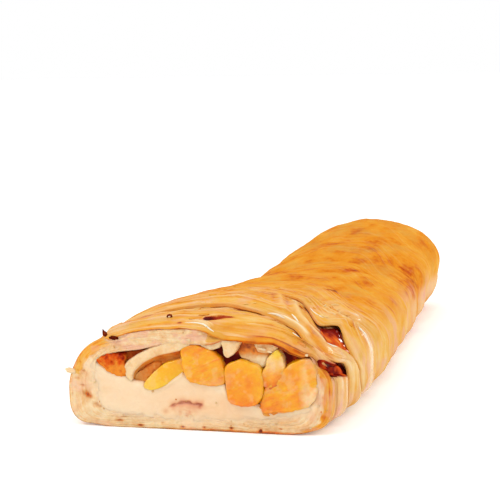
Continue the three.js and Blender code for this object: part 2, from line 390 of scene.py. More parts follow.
def roughen(points, faces, amount, size, seed, octaves=3):
    lift = noise(points[:, 0], points[:, 1], points[:, 2], size, seed, octaves)
    return points + pointNormals(points, faces) * (lift * amount)[:, None]


def addObject(name, data):
    made = bpy.data.objects.new(name, data)
    bpy.context.scene.collection.objects.link(made)
    return made


def makePiece(name, body, look, nodes=()):
    # body is points, faces and values; look is the material and its slot
    points, faces, values = body
    material, slot = look
    faces = faceOutward(points, faces)
    mesh = bpy.data.meshes.new(name)
    mesh.from_pydata(toFrame(points).tolist(), [], [f for group in faces for f in group.tolist()])
    mesh.shade_smooth()
    for key, numbers in values.items():
        layer = mesh.attributes.new(key, "FLOAT", "POINT")
        layer.data.foreach_set("value", np.asarray(numbers, np.float32).reshape(-1))
    mesh.materials.append(material)
    mesh.update()
    piece = addObject(name, mesh)
    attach(piece, "root")
    if nodes:
        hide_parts(*nodes)
    return piece


# finishes

lightShare = 0.78  # the studio light lifts every colour, so each is set that much darker


def colour(red, green, blue):
    # a colour as seen on a screen, turned into the light it stands for
    parts = [c / 255 for c in (red, green, blue)]
    linear = [c / 12.92 if c <= 0.04045 else ((c + 0.055) / 1.055) ** 2.4 for c in parts]
    return tuple(c * lightShare for c in linear) + (1.0,)


class Nodes:
    # adds nodes to a tree; another node's socket is linked to an input, and anything else is set on it

    def __init__(self, tree):
        self.tree = tree

    def node(self, kind, inputs=None, **settings):
        made = self.tree.nodes.new(kind)
        for key, setting in settings.items():
            setattr(made, key, setting)
        for key, source in (inputs or {}).items():
            self.feed(made.inputs[key], source)
        return made

    def feed(self, socket, source):
        if isinstance(source, bpy.types.NodeSocket):
            self.tree.links.new(source, socket)
        else:
            socket.default_value = source

    def math(self, kind, a, b, **settings):
        return self.node("ShaderNodeMath", {0: a, 1: b}, operation=kind, **settings).outputs[0]


class Finish(Nodes):
    # the tree of one material

    def __init__(self, name, base):
        self.material = bpy.data.materials.new(name)
        self.material.use_nodes = True
        super().__init__(self.material.node_tree)
        self.place = self.node("ShaderNodeTexCoord").outputs["Object"]
        for key, number in base.items():
            self.drive(key, number)

    def drive(self, key, source):
        self.feed(self.tree.nodes["Principled BSDF"].inputs[key], source)

    def attribute(self, name):
        return self.node("ShaderNodeAttribute", attribute_name=name).outputs["Fac"]

    def noise(self, scale, detail=3.0, rough=0.55, stretch=(1, 1, 1)):
        placed = self.node("ShaderNodeMapping", {"Vector": self.place, "Scale": stretch}).outputs["Vector"]
        return self.node("ShaderNodeTexNoise", {
            "Vector": placed, "Scale": scale, "Detail": detail, "Roughness": rough,
        }).outputs["Fac"]

    def ranged(self, value, low, high, to=(0.0, 1.0)):
        return self.node("ShaderNodeMapRange", {
            "Value": value, "From Min": low, "From Max": high, "To Min": to[0], "To Max": to[1],
        }).outputs["Result"]

    def shade(self, name, *layers):
        # an attribute with noise on it: each layer is the noise, its low and high end, and how much it adds
        total = self.attribute(name)
        for value, low, high, much in layers:
            total = self.math("ADD", total, self.ranged(value, low, high, (-much, much)))
        return total

    def ramp(self, value, stops):
        node = self.node("ShaderNodeValToRGB", {"Fac": value})
        band = node.color_ramp.elements
        band[0].position, band[0].color = stops[0]
        band[1].position, band[1].color = stops[-1]
        for position, tint in stops[1:-1]:
            band.new(position).color = tint
        return node.outputs["Color"]

    def blend(self, share, under, over):
        return self.node("ShaderNodeMix", {0: share, 6: under, 7: over}, data_type="RGBA").outputs[2]

    def relief(self, height, distance, strength):
        sizes = {"Height": height, "Distance": distance, "Strength": strength}
        self.drive("Normal", self.node("ShaderNodeBump", sizes).outputs["Normal"])

    def finish(self, tint):
        self.drive("Base Color", tint)
        return self.material


crustTints = {
    "dough": colour(250, 214, 160),
    "straw": colour(244, 190, 98),
    "gold": colour(242, 170, 60),
    "amber": colour(236, 146, 34),
    "toast": colour(208, 92, 20),
    "burnt": colour(120, 36, 14),
    "layer": colour(250, 210, 146),
    "blush": colour(242, 180, 150),
    "olive": colour(218, 158, 70),
    "painted_highlight": colour(255, 244, 220),
    "jam": colour(92, 14, 10),
    "red": colour(186, 56, 30),
}


def crustFinish():
    # bake: how far it has browned, plus painted shade under strip edges and on undersides
    skin = Finish("baked_crust", {
        # pale: layers with no glaze, and above 1 painted highlights. jam: stain, partly painted shade in
        # slits. blush: pink juice
        "Roughness": 0.45, "Coat Weight": 0.06, "Coat Roughness": 0.18, "Subsurface Weight": 0.1,
        "Subsurface Radius": (0.6, 0.3, 0.12), "Subsurface Scale": 0.003, "Specular IOR Level": 0.0,
    })
    wide = skin.noise(70, 4, 0.6)
    fine = skin.noise(420, 4, 0.65)
    browned = skin.shade("bake_and_shade", (wide, 0.3, 0.7, 0.12), (fine, 0.25, 0.75, 0.07))
    tint = skin.ramp(browned, [
        (0.0, crustTints["dough"]), (0.2, crustTints["straw"]), (0.42, crustTints["gold"]),
        (0.62, crustTints["amber"]), (0.8, crustTints["toast"]), (1.0, crustTints["burnt"]),
    ])
    tint = skin.blend(skin.ranged(skin.noise(55, 3, 0.6), 0.5, 0.68, (0.0, 0.5)), tint, crustTints["olive"])
    tint = skin.blend(skin.attribute("pale"), tint, crustTints["layer"])
    # pale above 1 blends into near white: painted highlights
    tint = skin.blend(skin.ranged(skin.attribute("pale"), 1.0, 1.5), tint, crustTints["painted_highlight"])
    tint = skin.blend(skin.attribute("blush"), tint, crustTints["blush"])
    jam = skin.attribute("jam")
    wet = skin.ramp(jam, [(0.4, crustTints["red"]), (0.8, crustTints["jam"])])
    tint = skin.blend(skin.ranged(jam, 0.0, 0.5), tint, wet)
    skin.relief(skin.math("ADD", fine, skin.noise(1300, 2, 0.5)), 0.00022, 0.7)
    gloss = skin.ranged(skin.noise(160, 3, 0.6), 0.3, 0.7, (0.3, 0.52))
    wetter = skin.math("MULTIPLY", skin.attribute("jam"), 0.2)
    skin.drive("Roughness", skin.math("SUBTRACT", gloss, wetter, use_clamp=True))
    skin.drive("Coat Weight", skin.attribute("gloss"))
    return skin.finish(tint)


crumbTints = {
    "light": colour(250, 222, 176),
    "warm": colour(244, 200, 144),
    "tan": colour(228, 164, 96),
    "brown": colour(236, 116, 22),
    "dark": colour(130, 44, 16),
    "cream": colour(253, 217, 174),
}


def crumbFinish():
    inside = Finish("cut_dough", {
        "Roughness": 0.68, "Subsurface Weight": 0.3, "Subsurface Radius": (1.0, 0.6, 0.3),
        "Subsurface Scale": 0.004, "Specular IOR Level": 0.3,
    })
    wide = inside.noise(150, 4, 0.6)
    fine = inside.noise(900, 3, 0.6)
    shade = inside.shade("bake_and_shade", (wide, 0.3, 0.7, 0.1), (fine, 0.3, 0.7, 0.07))
    tint = inside.ramp(shade, [
        (0.0, crumbTints["light"]), (0.25, crumbTints["warm"]), (0.5, crumbTints["tan"]),
        (0.75, crumbTints["brown"]), (1.0, crumbTints["dark"]),
    ])
    tint = inside.blend(inside.attribute("blush"), tint, crustTints["blush"])
    tint = inside.blend(inside.attribute("pale"), tint, crumbTints["cream"])
    tint = inside.blend(inside.attribute("skin"), tint, crustTints["gold"])
    inside.relief(inside.math("ADD", fine, wide), 0.0003, 0.8)
    return inside.finish(tint)


peachTints = {
    "light": colour(253, 206, 60),
    "yellow": colour(250, 182, 14),
    "orange": colour(248, 154, 6),
    "deep": colour(240, 116, 6),
    "red": colour(204, 84, 16),
    "stain": colour(120, 34, 14),
    "cream": colour(250, 210, 154),
}


def peachFinish():
    # ripe: from pale yellow through orange to the red near the stone
    flesh = Finish("cooked_peach", {
        "Roughness": 0.3, "Subsurface Weight": 0.4, "Subsurface Radius": (1.0, 0.42, 0.1),
        "Subsurface Scale": 0.004, "Coat Weight": 0.22, "Coat Roughness": 0.1, "Specular IOR Level": 0.3,
    })
    wide = flesh.noise(120, 4, 0.6)
    fibre = flesh.noise(380, 3, 0.6, (1, 0.5, 1))
    shade = flesh.shade("ripe", (wide, 0.3, 0.7, 0.14), (fibre, 0.3, 0.7, 0.07))
    tint = flesh.ramp(shade, [
        (0.0, peachTints["light"]), (0.25, peachTints["yellow"]), (0.5, peachTints["orange"]),
        (0.72, peachTints["deep"]), (0.86, peachTints["red"]), (1.0, peachTints["stain"]),
    ])
    tint = flesh.blend(flesh.attribute("creamy"), tint, peachTints["cream"])
    flesh.relief(flesh.math("ADD", wide, fibre), 0.0003, 0.7)
    return flesh.finish(tint)


def creamFinish():
    cream = Finish("sweet_cream", {
        "Roughness": 0.42, "Subsurface Weight": 0.35, "Subsurface Radius": (1.0, 0.7, 0.45),
        "Subsurface Scale": 0.005, "Specular IOR Level": 0.4, "Coat Weight": 0.1, "Coat Roughness": 0.3,
    })
    wide = cream.noise(90, 3, 0.55)
    fine = cream.noise(600, 3, 0.6)
    shade = cream.shade("stain", (wide, 0.35, 0.65, 0.06))
    tint = cream.ramp(shade, [
        (0.0, colour(254, 228, 190)), (0.35, colour(250, 208, 160)), (0.7, colour(232, 158, 112)),
        (1.0, colour(186, 98, 66)),
    ])
    cream.relief(cream.math("ADD", fine, wide), 0.0003, 0.6)
    return cream.finish(tint)


def jamFinish():
    jam = Finish("fruit_jam", {
        "Roughness": 0.3, "Subsurface Weight": 0.2, "Subsurface Radius": (0.8, 0.15, 0.06),
        "Subsurface Scale": 0.003, "Coat Weight": 0.05, "Coat Roughness": 0.2, "Specular IOR Level": 0.0,
    })
    wide = jam.noise(160, 3, 0.6)
    shade = jam.shade("bright", (wide, 0.35, 0.65, 0.15))
    tint = jam.ramp(shade, [
        (0.0, colour(84, 6, 6)), (0.35, colour(140, 24, 12)), (0.65, colour(222, 84, 20)),
        (1.0, colour(242, 146, 50)),
    ])
    jam.relief(wide, 0.0005, 0.6)
    jam.drive("Coat Weight", jam.ranged(jam.attribute("glint"), 0.0, 1.0, (0.05, 1.0)))
    return jam.finish(tint)


def charFinish():
    char = Finish("burnt_bit", {"Roughness": 0.6, "Specular IOR Level": 0.0})
    fine = char.noise(700, 3, 0.6)
    tint = char.ramp(fine, [
        (0.3, colour(74, 16, 8)), (0.55, colour(120, 40, 16)), (0.75, colour(190, 96, 44)),
    ])
    char.relief(fine, 0.0003, 0.8)
    return char.finish(tint)


def deepFinish():
    # the fruit bed behind the slices: juice colour, with painted shade in its dark hollows
    deep = Finish("juicy_hollow", {
        "Roughness": 0.55, "Specular IOR Level": 0.05, "Subsurface Weight": 0.15,
        "Subsurface Radius": (0.8, 0.2, 0.06), "Subsurface Scale": 0.003,
    })
    wide = deep.noise(240, 3, 0.6)
    shade = deep.shade("ripe", (wide, 0.35, 0.65, 0.12))
    tint = deep.ramp(shade, [
        (0.0, colour(244, 160, 84)), (0.4, colour(224, 112, 40)), (0.7, colour(170, 52, 22)),
        (1.0, colour(104, 16, 12)),
    ])
    deep.relief(wide, 0.0004, 0.7)
    return deep.finish(tint)


crustLook = (crustFinish(), "baked_pastry")
crumbLook = (crumbFinish(), "baked_pastry")
peachLook = (peachFinish(), "peach")
creamLook = (creamFinish(), "cream")
jamLook = (jamFinish(), "fruit_jam")
charLook = (charFinish(), "fruit_jam")
deepLook = (deepFinish(), "peach")
print("finishes ready")


# what lies on the crust: folds, slits, open pockets and browned patches

folds = [  # raised pleats of the top sheet: route in x and y, half width, height, how pale; the pale is partly painted highlight
    {"path": [(22.6, 62), (26.7, 47), (31, 33), (36, 23.5), (41.5, 18), (44.6, 13.6)],
     "wide": 2.0, "high": 1.3, "pale": 0.8},
    {"path": [(14, 74), (18, 58), (22, 44), (27, 33)], "wide": 1.6, "high": 0.8, "pale": 0.45},
    {"path": [(-6, 2.6), (-1, 3.4), (3.6, 2.8), (7.4, 0.6)], "wide": 0.8, "high": 0.5, "pale": 0.95},
    {"path": [(34, 60), (38.5, 56), (42.5, 56), (46, 62)], "wide": 1.8, "high": 0.8, "pale": 0.7},
    {"path": [(17, 29.5), (22, 26.5), (27, 25.4), (31.5, 22.6), (36.6, 17), (40, 12.4)],
     "wide": 1.7, "high": 0.7, "pale": 0.85},
]
slits = [  # tears between layers, painted dark with jam stain and painted shade: route, how high and how far back the sheet stands, depth
    {"path": [(0.8, 6.4), (5.8, 10), (13.6, 15.6)], "high": 0.95, "reach": 6.0, "deep": 0.8},
]
pockets = {  # open folds with jam: the strips it lies on, outline in y and turn in degrees, depth
    "upper": {"strips": (2,), "deep": 1.9,
              "outline": [(33.5, 44), (40.5, 40.5), (49, 36), (45, 31), (40.5, 24.5), (39, 20), (36.6, 15.5),
                          (31.5, 19), (27, 22), (23.5, 27), (19, 31), (24, 38.5)]},
    "lower": {"strips": (0, 1), "deep": 2.2,
              "outline": [(0.5, 26), (5, 20.5), (11.5, 16), (21.5, 15.5), (26, 13.5), (28.5, 8.5),
                          (28.5, 2.5), (19, 5.5), (8.5, 10), (3, 16.5), (0.5, 22)]},
}


def heightAt(y, degrees):
    return float(plainPoint(np.array(float(y)), math.radians(degrees))[1])


for pocket in pockets.values():
    pocket["level"] = [(y, heightAt(y, degrees)) for y, degrees in pocket["outline"]]  # the same in y and z

patches = [  # browned spots: x, y, radius, how dark
    (26, 122.5, 3, 0.5), (22.4, 197, 6, 0.24), (45.4, 232, 9, 0.34), (43.4, 243, 9, 0.16),
    (45, 217, 7, 0.2), (50.2, 150, 4, 0.2), (-18.5, 0.6, 1.0, 0.5), (-6.4, 0.8, 1.2, 0.5),
    (-1.6, 3.4, 1.0, 0.3), (48, 205, 5, 0.2), (10, 205, 5, 0.12), (2.7, 240, 12, 0.08),
    (-5, 166, 10, 0.12), (32, 170, 5, 0.1), (24, 150, 4, 0.1), (28, 5, 7, 0.12),
    (38, 6, 6, 0.2), (-28, 60, 9, 0.14), (6, 62, 7, 0.12), (17.5, 4, 4, 0.14),
]
shine = [  # wet-looking glaze: x, y, radius
    (44.2, 85, 3), (51.4, 63, 3), (52.7, 66, 2.4), (50, 60.5, 2.4), (1, 3, 4), (-7, 37, 4), (-32, 4, 5),
    (48, 20, 6),
]
highlightStrokes = [  # painted highlights: thin near-white lines where edges catch the light: route, half width, how white
    ([(-6.4, 3.2), (-1, 3.2), (2.6, 2.0), (4.8, 0.6), (6.4, -0.4)], 0.7, 1.5),
    ([(-9, 37.4), (-5, 37), (-1, 37.6)], 0.7, 1.2),
    ([(34, 57), (38.4, 53), (42, 53)], 0.6, 1.3),
    ([(43.4, 87), (45, 84)], 0.7, 1.5),
    ([(49.6, 66), (52.4, 61)], 0.7, 1.5),
    ([(22, 27), (27, 25.8), (31.5, 23)], 0.6, 1.2),
    ([(33, 30), (37.4, 22)], 0.6, 1.1),
    ([(-12, 50), (0, 48), (12, 52)], 0.6, 1.0),
    ([(-30, 22), (-22, 26), (-12, 27)], 0.5, 1.0),
]
crust = {
    "farFrom": 70, "farTo": 150,  # between these the near look turns into the far one
    "layerStep": 7.0,  # from the edge of one thin layer to the next
    "layerHigh": 0.4, "nearLayerHigh": 0.3,
    "pleatHigh": 0.45,  # fine pleats low on both sides
    "strokeHigh": 0.25,
    "blushSpot": (1, 5.4, 2.4, 1.2),  # pink stain over the front: x, y, stretch across, radius
}
plainPaint = {"bake_and_shade": 0.4, "pale": 0.0, "jam": 0.0, "blush": 0.0, "gloss": 0.0}


def pocketShares(x, y, z, i):
    # how far inside an open fold this is, as (hollow in mm, jam, browned rim, flattened)
    hollow, jam, rim, flat = (np.zeros_like(np.broadcast_to(y, np.shape(x)).astype(float)) for _ in range(4))
    for pocket in pockets.values():
        if i in pocket["strips"]:
            inside = insideOutline(y, z, pocket["level"]) - 50 * (x < 30)
            hollow += pocket["deep"] * smooth(inside, -0.5, 1.2)
            jam = np.maximum(jam, 0.9 * smooth(inside, -0.5, 0.3))
            rim += smooth(inside, -1.4, 0.2)
            flat = np.maximum(flat, smooth(inside, -2.5, 0))
    return hollow, jam, rim, flat


def thinLayers(arc, back, z, i, far):
    # layers that end one behind another: their relief, browned edges and lit tops
    walked = (back + 5 * noise(arc, back, i, (30, 60, 1), 13, 2)) / crust["layerStep"]
    step = walked - np.floor(walked)
    shown = smooth(noise(arc, np.floor(walked) * 9.7, i, (16, 1, 1), 15, 2), -0.35, 0.25) * (1 - 0.75 * far)
    shown = shown * smooth(back, 1.5, 5) * smooth(z, 18, 28)
    high = crust["layerHigh"] + crust["nearLayerHigh"] * (1 - far)
    return (high * shown * (1 - step) * smooth(step, 0, 0.1), shown * bump(step - 0.05, 0.05),
            shown * bump(step - 0.16, 0.08))


def layFolds(x, y, relief, paint):
    for fold in folds:
        away, along = pathDistance(x, y, fold["path"])
        ends = smooth(along, 0, 0.15) * smooth(1 - along, 0, 0.15)
        ridge = bump(away, fold["wide"]) * ends
        relief += fold["high"] * ridge
        # a pale crest: partly pale layers, partly painted highlight
        paint["pale"] = np.maximum(paint["pale"], fold["pale"] * bump(away, 0.6 * fold["wide"]) * ends)
        # painted shade in the crease at the ridge's foot
        beside = bump(away - 1.7 * fold["wide"], 0.6 * fold["wide"])
        paint["bake_and_shade"] += 0.16 * ends * beside
    return relief


def openSlits(x, y, relief, paint):
    # the sheet behind a tear stands open like a lip; the tear below it is painted dark: jam stain and painted
    # shade
    for slit in slits:
        away, along = pathDistance(x, y, slit["path"])
        (x0, y0), (x1, y1) = slit["path"][0], slit["path"][-1]
        behind = np.where((x1 - x0) * (y - y0) - (y1 - y0) * (x - x0) > 0, away, -away)
        ends = smooth(along, 0, 0.12) * smooth(1 - along, 0, 0.6)
        lip = smooth(behind, -0.5, 0.7) * smooth(behind, slit["reach"], 0.7) * ends
        relief = relief + slit["high"] * lip - slit["deep"] * bump(behind + 1.0, 1.1) * ends
        dark = smooth(behind, -1.0, -0.4) * smooth(behind, 0.6, 0.25) * smooth(ends, 0.03, 0.3)
        paint["jam"] = np.maximum(paint["jam"], dark * mix(1.0, 0.5, smooth(along, 0.15, 0.5)))
        paint["pale"] = np.maximum(paint["pale"], 0.7 * bump(behind - 1.3, 0.7) * ends)
    return relief


def drawHighlightStrokes(x, y, relief, paint):
    # each stroke paints a near-white highlight along its route
    for path, wide, painted_highlight in highlightStrokes:
        away, along = pathDistance(x, y, path)
        ends = smooth(along, 0, 0.3) * smooth(1 - along, 0, 0.3)
        paint["pale"] = np.maximum(np.clip(paint["pale"], 0, 1), painted_highlight * bump(away, wide) * ends)
        relief += crust["strokeHigh"] * bump(away, wide) * ends
    return relief


def paintCrust(x, y, z, arc, back, i):
    # relief in mm and the colour numbers for a place on strip i; back is its distance behind the front
    far = smooth(y, crust["farFrom"], crust["farTo"])
    near = 1 - far
    sides = smooth(np.abs(x - 3), 34, 48) * smooth(z, 34, 12)
    lowRight = smooth(x, 38, 44) * smooth(z, 30, 16)
    streak = noise(arc, back, i, (22, 2.4, 1), 11 + i, 3)
    lump = noise(x, y, z, 15, 3, 2)
    fine = noise(x, y, z, 2.6, 5, 3)
    tone = noise(x, y, z, (9, 7, 9), 41, 3)
    threads = noise(arc, back, i, (17, 1.3, 1), 17 + i, 2) * near
    layers, edge, lit = thinLayers(arc, back, z, i, far)
    relief = 0.2 * streak * (1 - 0.5 * far) + (0.5 + 0.5 * far) * lump + (0.12 + 0.12 * far) * fine
    relief += layers
    relief += 0.12 * threads

    browned = 0.4 + 0.18 * smooth(y, 20, 150) + 0.12 * noise(x, y, z, 10, 23, 3)
    browned += 0.12 * streak * (1 - 0.4 * far)
    browned += 0.14 * far * np.maximum(0, noise(x, y, z, (8, 12, 8), 31, 2) - 0.15)
    browned -= 0.16 * far * np.maximum(0, noise(x, y, z, (9, 14, 9), 33, 2) - 0.1)
    browned -= 0.26 * sides * smooth(y, 16, 40)
    browned += 0.26 * edge + 0.14 * threads
    browned += 0.14 * near * smooth(tone, 0.1, 0.6)

    pale = 0.5 * lit + 0.35 * smooth(streak, 0.1, 0.5) * near + 0.3 * near * smooth(tone, -0.1, -0.5)
    pale += 0.3 * near * smooth(threads, 0.2, 0.6)
    pale += 0.35 * sides * far * smooth(noise(x, y, z, 12, 35, 2), -0.3, 0.5)
    pale += 0.2 * lowRight * smooth(noise(x, y, z, (12, 9, 12), 36, 2), -0.4, 0.4)

    paint = {"bake_and_shade": browned, "pale": pale, "jam": np.zeros_like(browned)}
    relief = layFolds(x, y, relief, paint)
    relief = openSlits(x, y, relief, paint)
    hollow, stained, rim, flat = pocketShares(x, y, z, i)
    relief = relief * (1 - 0.8 * flat) - hollow
    paint["bake_and_shade"] += 0.35 * rim
    paint["jam"] = np.maximum(paint["jam"], stained)

    calm = np.zeros_like(browned)  # no pale layers or blush over the darkest patches
    for px, py, size, dark in patches:
        spot = bump(np.hypot(x - px, y - py), size)
        paint["bake_and_shade"] += dark * spot * (0.8 + 0.6 * fine)
        calm = np.maximum(calm, spot * (dark > 0.3))
    gloss = 0.03 + 0.2 * smooth(noise(x, y, z, 7, 37, 2), 0.1, 0.5) * (1 - 0.8 * far)
    for px, py, size in shine:
        gloss += 0.9 * bump(np.hypot(x - px, y - py), size)

    pleat = noise(x, y, z, (60, 3.4, 14), 79, 3) * sides * (0.25 + 0.75 * smooth(y, 150, 60))
    relief += crust["pleatHigh"] * pleat
    paint["pale"] += 0.6 * smooth(pleat, 0.1, 0.5)
    paint["bake_and_shade"] += 0.2 * smooth(pleat, -0.15, -0.5)

    # paler and pinker low on the far right side
    paleLowFarRight = smooth(y, 180, 240) * smooth(x, 43, 49) * smooth(z, 23, 15)
    spotX, spotY, stretch, size = crust["blushSpot"]
    blush = 0.6 * smooth(noise(x, y, z, (8, 5, 8), 77, 2), 0.0, 0.5) * np.maximum(sides, lowRight)
    blush += 0.3 * near * smooth(noise(x, y, z, (8, 5, 6), 78, 2), 0.1, 0.5)
    blush = blush + 0.4 * paleLowFarRight + 0.7 * bump(np.hypot((x - spotX) / stretch, y - spotY), size)
    blush = blush * (1 - calm)
    paint["pale"] = (paint["pale"] + 0.7 * paleLowFarRight) * (1 - calm)
    # the strokes paint highlights
    relief = drawHighlightStrokes(x, y, relief, paint)
    paint["pale"] = np.clip(paint["pale"], 0, 1.5)
    paint["blush"] = np.clip(blush, 0, 1)
    paint["gloss"] = np.clip(gloss, 0, 1)
    return relief, paint


def crustAt(y, turn, arc, back, i):
    # relief and colour numbers where strip i lies on the plain loaf
    bare = skinPoint(y, turn, 0.0)
    return paintCrust(bare[..., 0], y, bare[..., 2], arc, back, i)


# inside of the crust and its cut face

cavity = {
    "leftWall": 16.0, "rightWall": 9.0, "floorWall": 5.2, "roofWall": 6.0, "endWall": 20.0,
    "waist": 0.42, "square": 2.8, "endTaper": 0.35, "taperLength": 22.0,
    "mouthBlend": 26.0,  # over this length the mouth at the cut turns into the plain room behind
}
# the mouth at the cut, clockwise from the lower left
mouth = [
    (-36.7, 10.7), (-37.6, 16.7), (-40.4, 23.2), (-39.8, 26), (-36.2, 27.9), (-30, 29.4), (-23.9, 30.2),
    (-18.2, 31.4), (-10, 32.7), (-2.3, 32.8), (5, 33), (10, 34.4), (18, 35), (27.8, 34.6), (36, 34.4),
    (42, 31.6), (45, 27), (45.6, 19), (44, 12.4), (39, 9), (30, 7), (7.8, 6.5), (-10, 6.3), (-25.8, 6),
    (-33.2, 7.3),
]


def mouthRadius(angle):
    middleX, middleZ = cavityMiddle(0.0)
    edge = roundCurve(mouth, 720) - (middleX, middleZ)
    turns = np.arctan2(edge[:, 1], edge[:, 0])
    order = np.argsort(turns)
    wrap = np.concatenate([turns[order] - 2 * math.pi, turns[order], turns[order] + 2 * math.pi])
    return np.interp(angle, wrap, np.tile(np.hypot(*edge.T)[order], 3))


def cavityMiddle(y):
    drift, half, high, left, right = stationAt(y)
    low = cavity["floorWall"]
    return drift, mix(low, high - cavity["roofWall"], cavity["waist"])


def cavityPoint(y, angle):
    drift, half, high, left, right = stationAt(y)
    end = loaf["length"] - cavity["endWall"]
    taper = 1 - cavity["endTaper"] * smooth(y, end - cavity["taperLength"], end)
    middleX, middleZ = cavityMiddle(y)
    c, n = np.cos(angle), np.sin(angle)
    wide = (half - np.where(c > 0, cavity["rightWall"], cavity["leftWall"])) * taper
    tall = np.where(n > 0, high - cavity["roofWall"] - middleZ, middleZ - cavity["floorWall"]) * taper
    p = cavity["square"]
    room = (np.abs(c / wide) ** p + np.abs(n / tall) ** p) ** (-1 / p)
    radius = mix(mouthRadius(angle), room, smooth(y, 1, cavity["mouthBlend"]))
    return middleX + radius * c, middleZ + radius * n


def creamLine(x, y):
    # height of the cream; at the cut it rises and dips round the fruit
    atCut = np.interp(x, creamEdge[:, 0], creamEdge[:, 1])
    inside = mix(15.8, 8.6, smooth(x, 8, 15)) + 0.6 * np.sin(y / 17 + x / 9)
    return mix(atCut, inside, smooth(y, 1.5, 11))


creamEdge = np.array([
    (-60, 26), (-42, 26), (-40.3, 25.2), (-37.2, 23), (-35.5, 21.8), (-32, 20.2), (-28.5, 20), (-26, 18.6),
    (-24.2, 18.3), (-21.6, 18), (-20.6, 15.8), (-15.5, 16.3), (-12, 18), (-7.6, 21), (-5.9, 22.4), (-2.5, 20),
    (6, 18.9), (11, 18.6), (12, 15.5), (13.8, 12.4), (18, 11.4), (23, 11.5), (26, 10.6), (30, 9), (36, 10.4),
    (41, 11.6), (60, 13),
])
face = {
    "columns": 560, "faceRows": 44, "nearStep": 0.8, "nearLength": 44.0, "farStep": 4.2,
    "underStrips": 1.5,  # how far the shell sinks below the strips that lie on it
    "layerRelief": 0.4, "crumbRelief": 0.6, "threadRelief": 0.16,
    "leftSwell": 1.0,
    "tornBack": 4.5, "shoulderBack": 3.4, "outerBack": 2.4,  # how far the rim lies back of the cut there
}
holes = [  # air holes in the dough: x, z, reach across and up, depth, how brown
    (-44.9, 12.4, 1.5, 1.1, 1.2, 0.55), (-43.4, 11.1, 1.5, 1.0, 0.9, 0.4), (-41.0, 8.6, 1.5, 0.8, 1.1, 0.34),
    (-39.4, 7.6, 1.3, 0.6, 0.9, 0.3), (-46.3, 15.8, 1.0, 0.4, 0.8, 0.35), (-48.6, 18.4, 1.2, 0.4, 0.5, 0.3),
    (-45.6, 21.4, 0.7, 0.5, 0.5, 0.25), (-27.2, 7.4, 0.9, 0.5, 0.6, 0.3), (-48.2, 21.5, 0.8, 0.3, 0.7, 0.35),
    (-23.4, 6.8, 0.9, 0.6, 0.7, 0.4), (-18.0, 4.5, 1.0, 0.5, 0.8, 0.6), (-31.6, 2.6, 2.0, 0.3, 0.6, 0.45),
    (-29.4, 4.2, 1.3, 0.25, 0.5, 0.4), (-22.9, 1.2, 1.0, 0.4, 0.5, 0.9), (-5.9, 1.3, 0.9, 0.4, 0.5, 0.9),
    (-14.0, 2.6, 0.7, 0.3, 0.5, 0.5), (13.0, 1.6, 0.8, 0.4, 0.7, 0.9), (24.6, 1.2, 0.6, 0.6, 0.6, 0.9),
    (2.5, 1.5, 0.6, 0.4, 0.5, 0.7), (32.5, 2.2, 0.6, 0.3, 0.5, 0.8), (46.4, 6.6, 0.5, 0.5, 0.5, 0.3),
    (-47.6, 24.6, 0.5, 0.5, 0.5, 0.4), (-34.5, 14.5, 0.6, 0.4, 0.4, 0.2), (-30.2, 9.4, 0.5, 0.4, 0.4, 0.2),
]


def shellOutside(y, turn, arc):
    # the outside of the shell, sunk where strips lie on it
    y = np.broadcast_to(y, turn.shape).astype(float)
    t = (y - strips[0][0]) / (stripFront(1, turn) - strips[0][0])
    under = smooth(y - lipFront(1, turn), 0.5, 6)
    out = mix(stripHeight(t, turn), -face["underStrips"], under)
    relief, paint = crustAt(y, turn, arc, y, 0)
    sole = smooth(-np.sin(turn), 0.6, 0.8)
    out += relief * smooth(y, 0, 3) * (1 - sole) * (1 - under)
    out += face["leftSwell"] * smooth(-np.cos(turn), 0.6, 0.85) * smooth(y, 30, 10)
    points = skinPoint(y, turn, out)
    points[:, 2] = np.maximum(points[:, 2], 0.7 * under)
    paint["bake_and_shade"] += 0.2 * sole
    return points, paint


def wallRing(y, angle, end):
    # the room's wall at y, browned at its roof
    x, z = cavityPoint(np.full(len(angle), y), angle)
    rough = noise(x, y, z, 4, 41, 3) * 0.7 + noise(x, y, z, 1.3, 43, 2) * 0.2
    grow = rough * smooth(y, 0, 4) * smooth(end - y, 0, 10)
    x, z = x + np.cos(angle) * grow, z + np.sin(angle) * grow
    roof = smooth(z, 20, 29)
    brown = mix(0.25, 0.66 + 0.16 * noise(x, y, z, 6, 47, 2), roof)
    return np.stack([x, np.full(len(angle), y), z], -1), {"bake_and_shade": brown, "skin": 0.3 * roof}


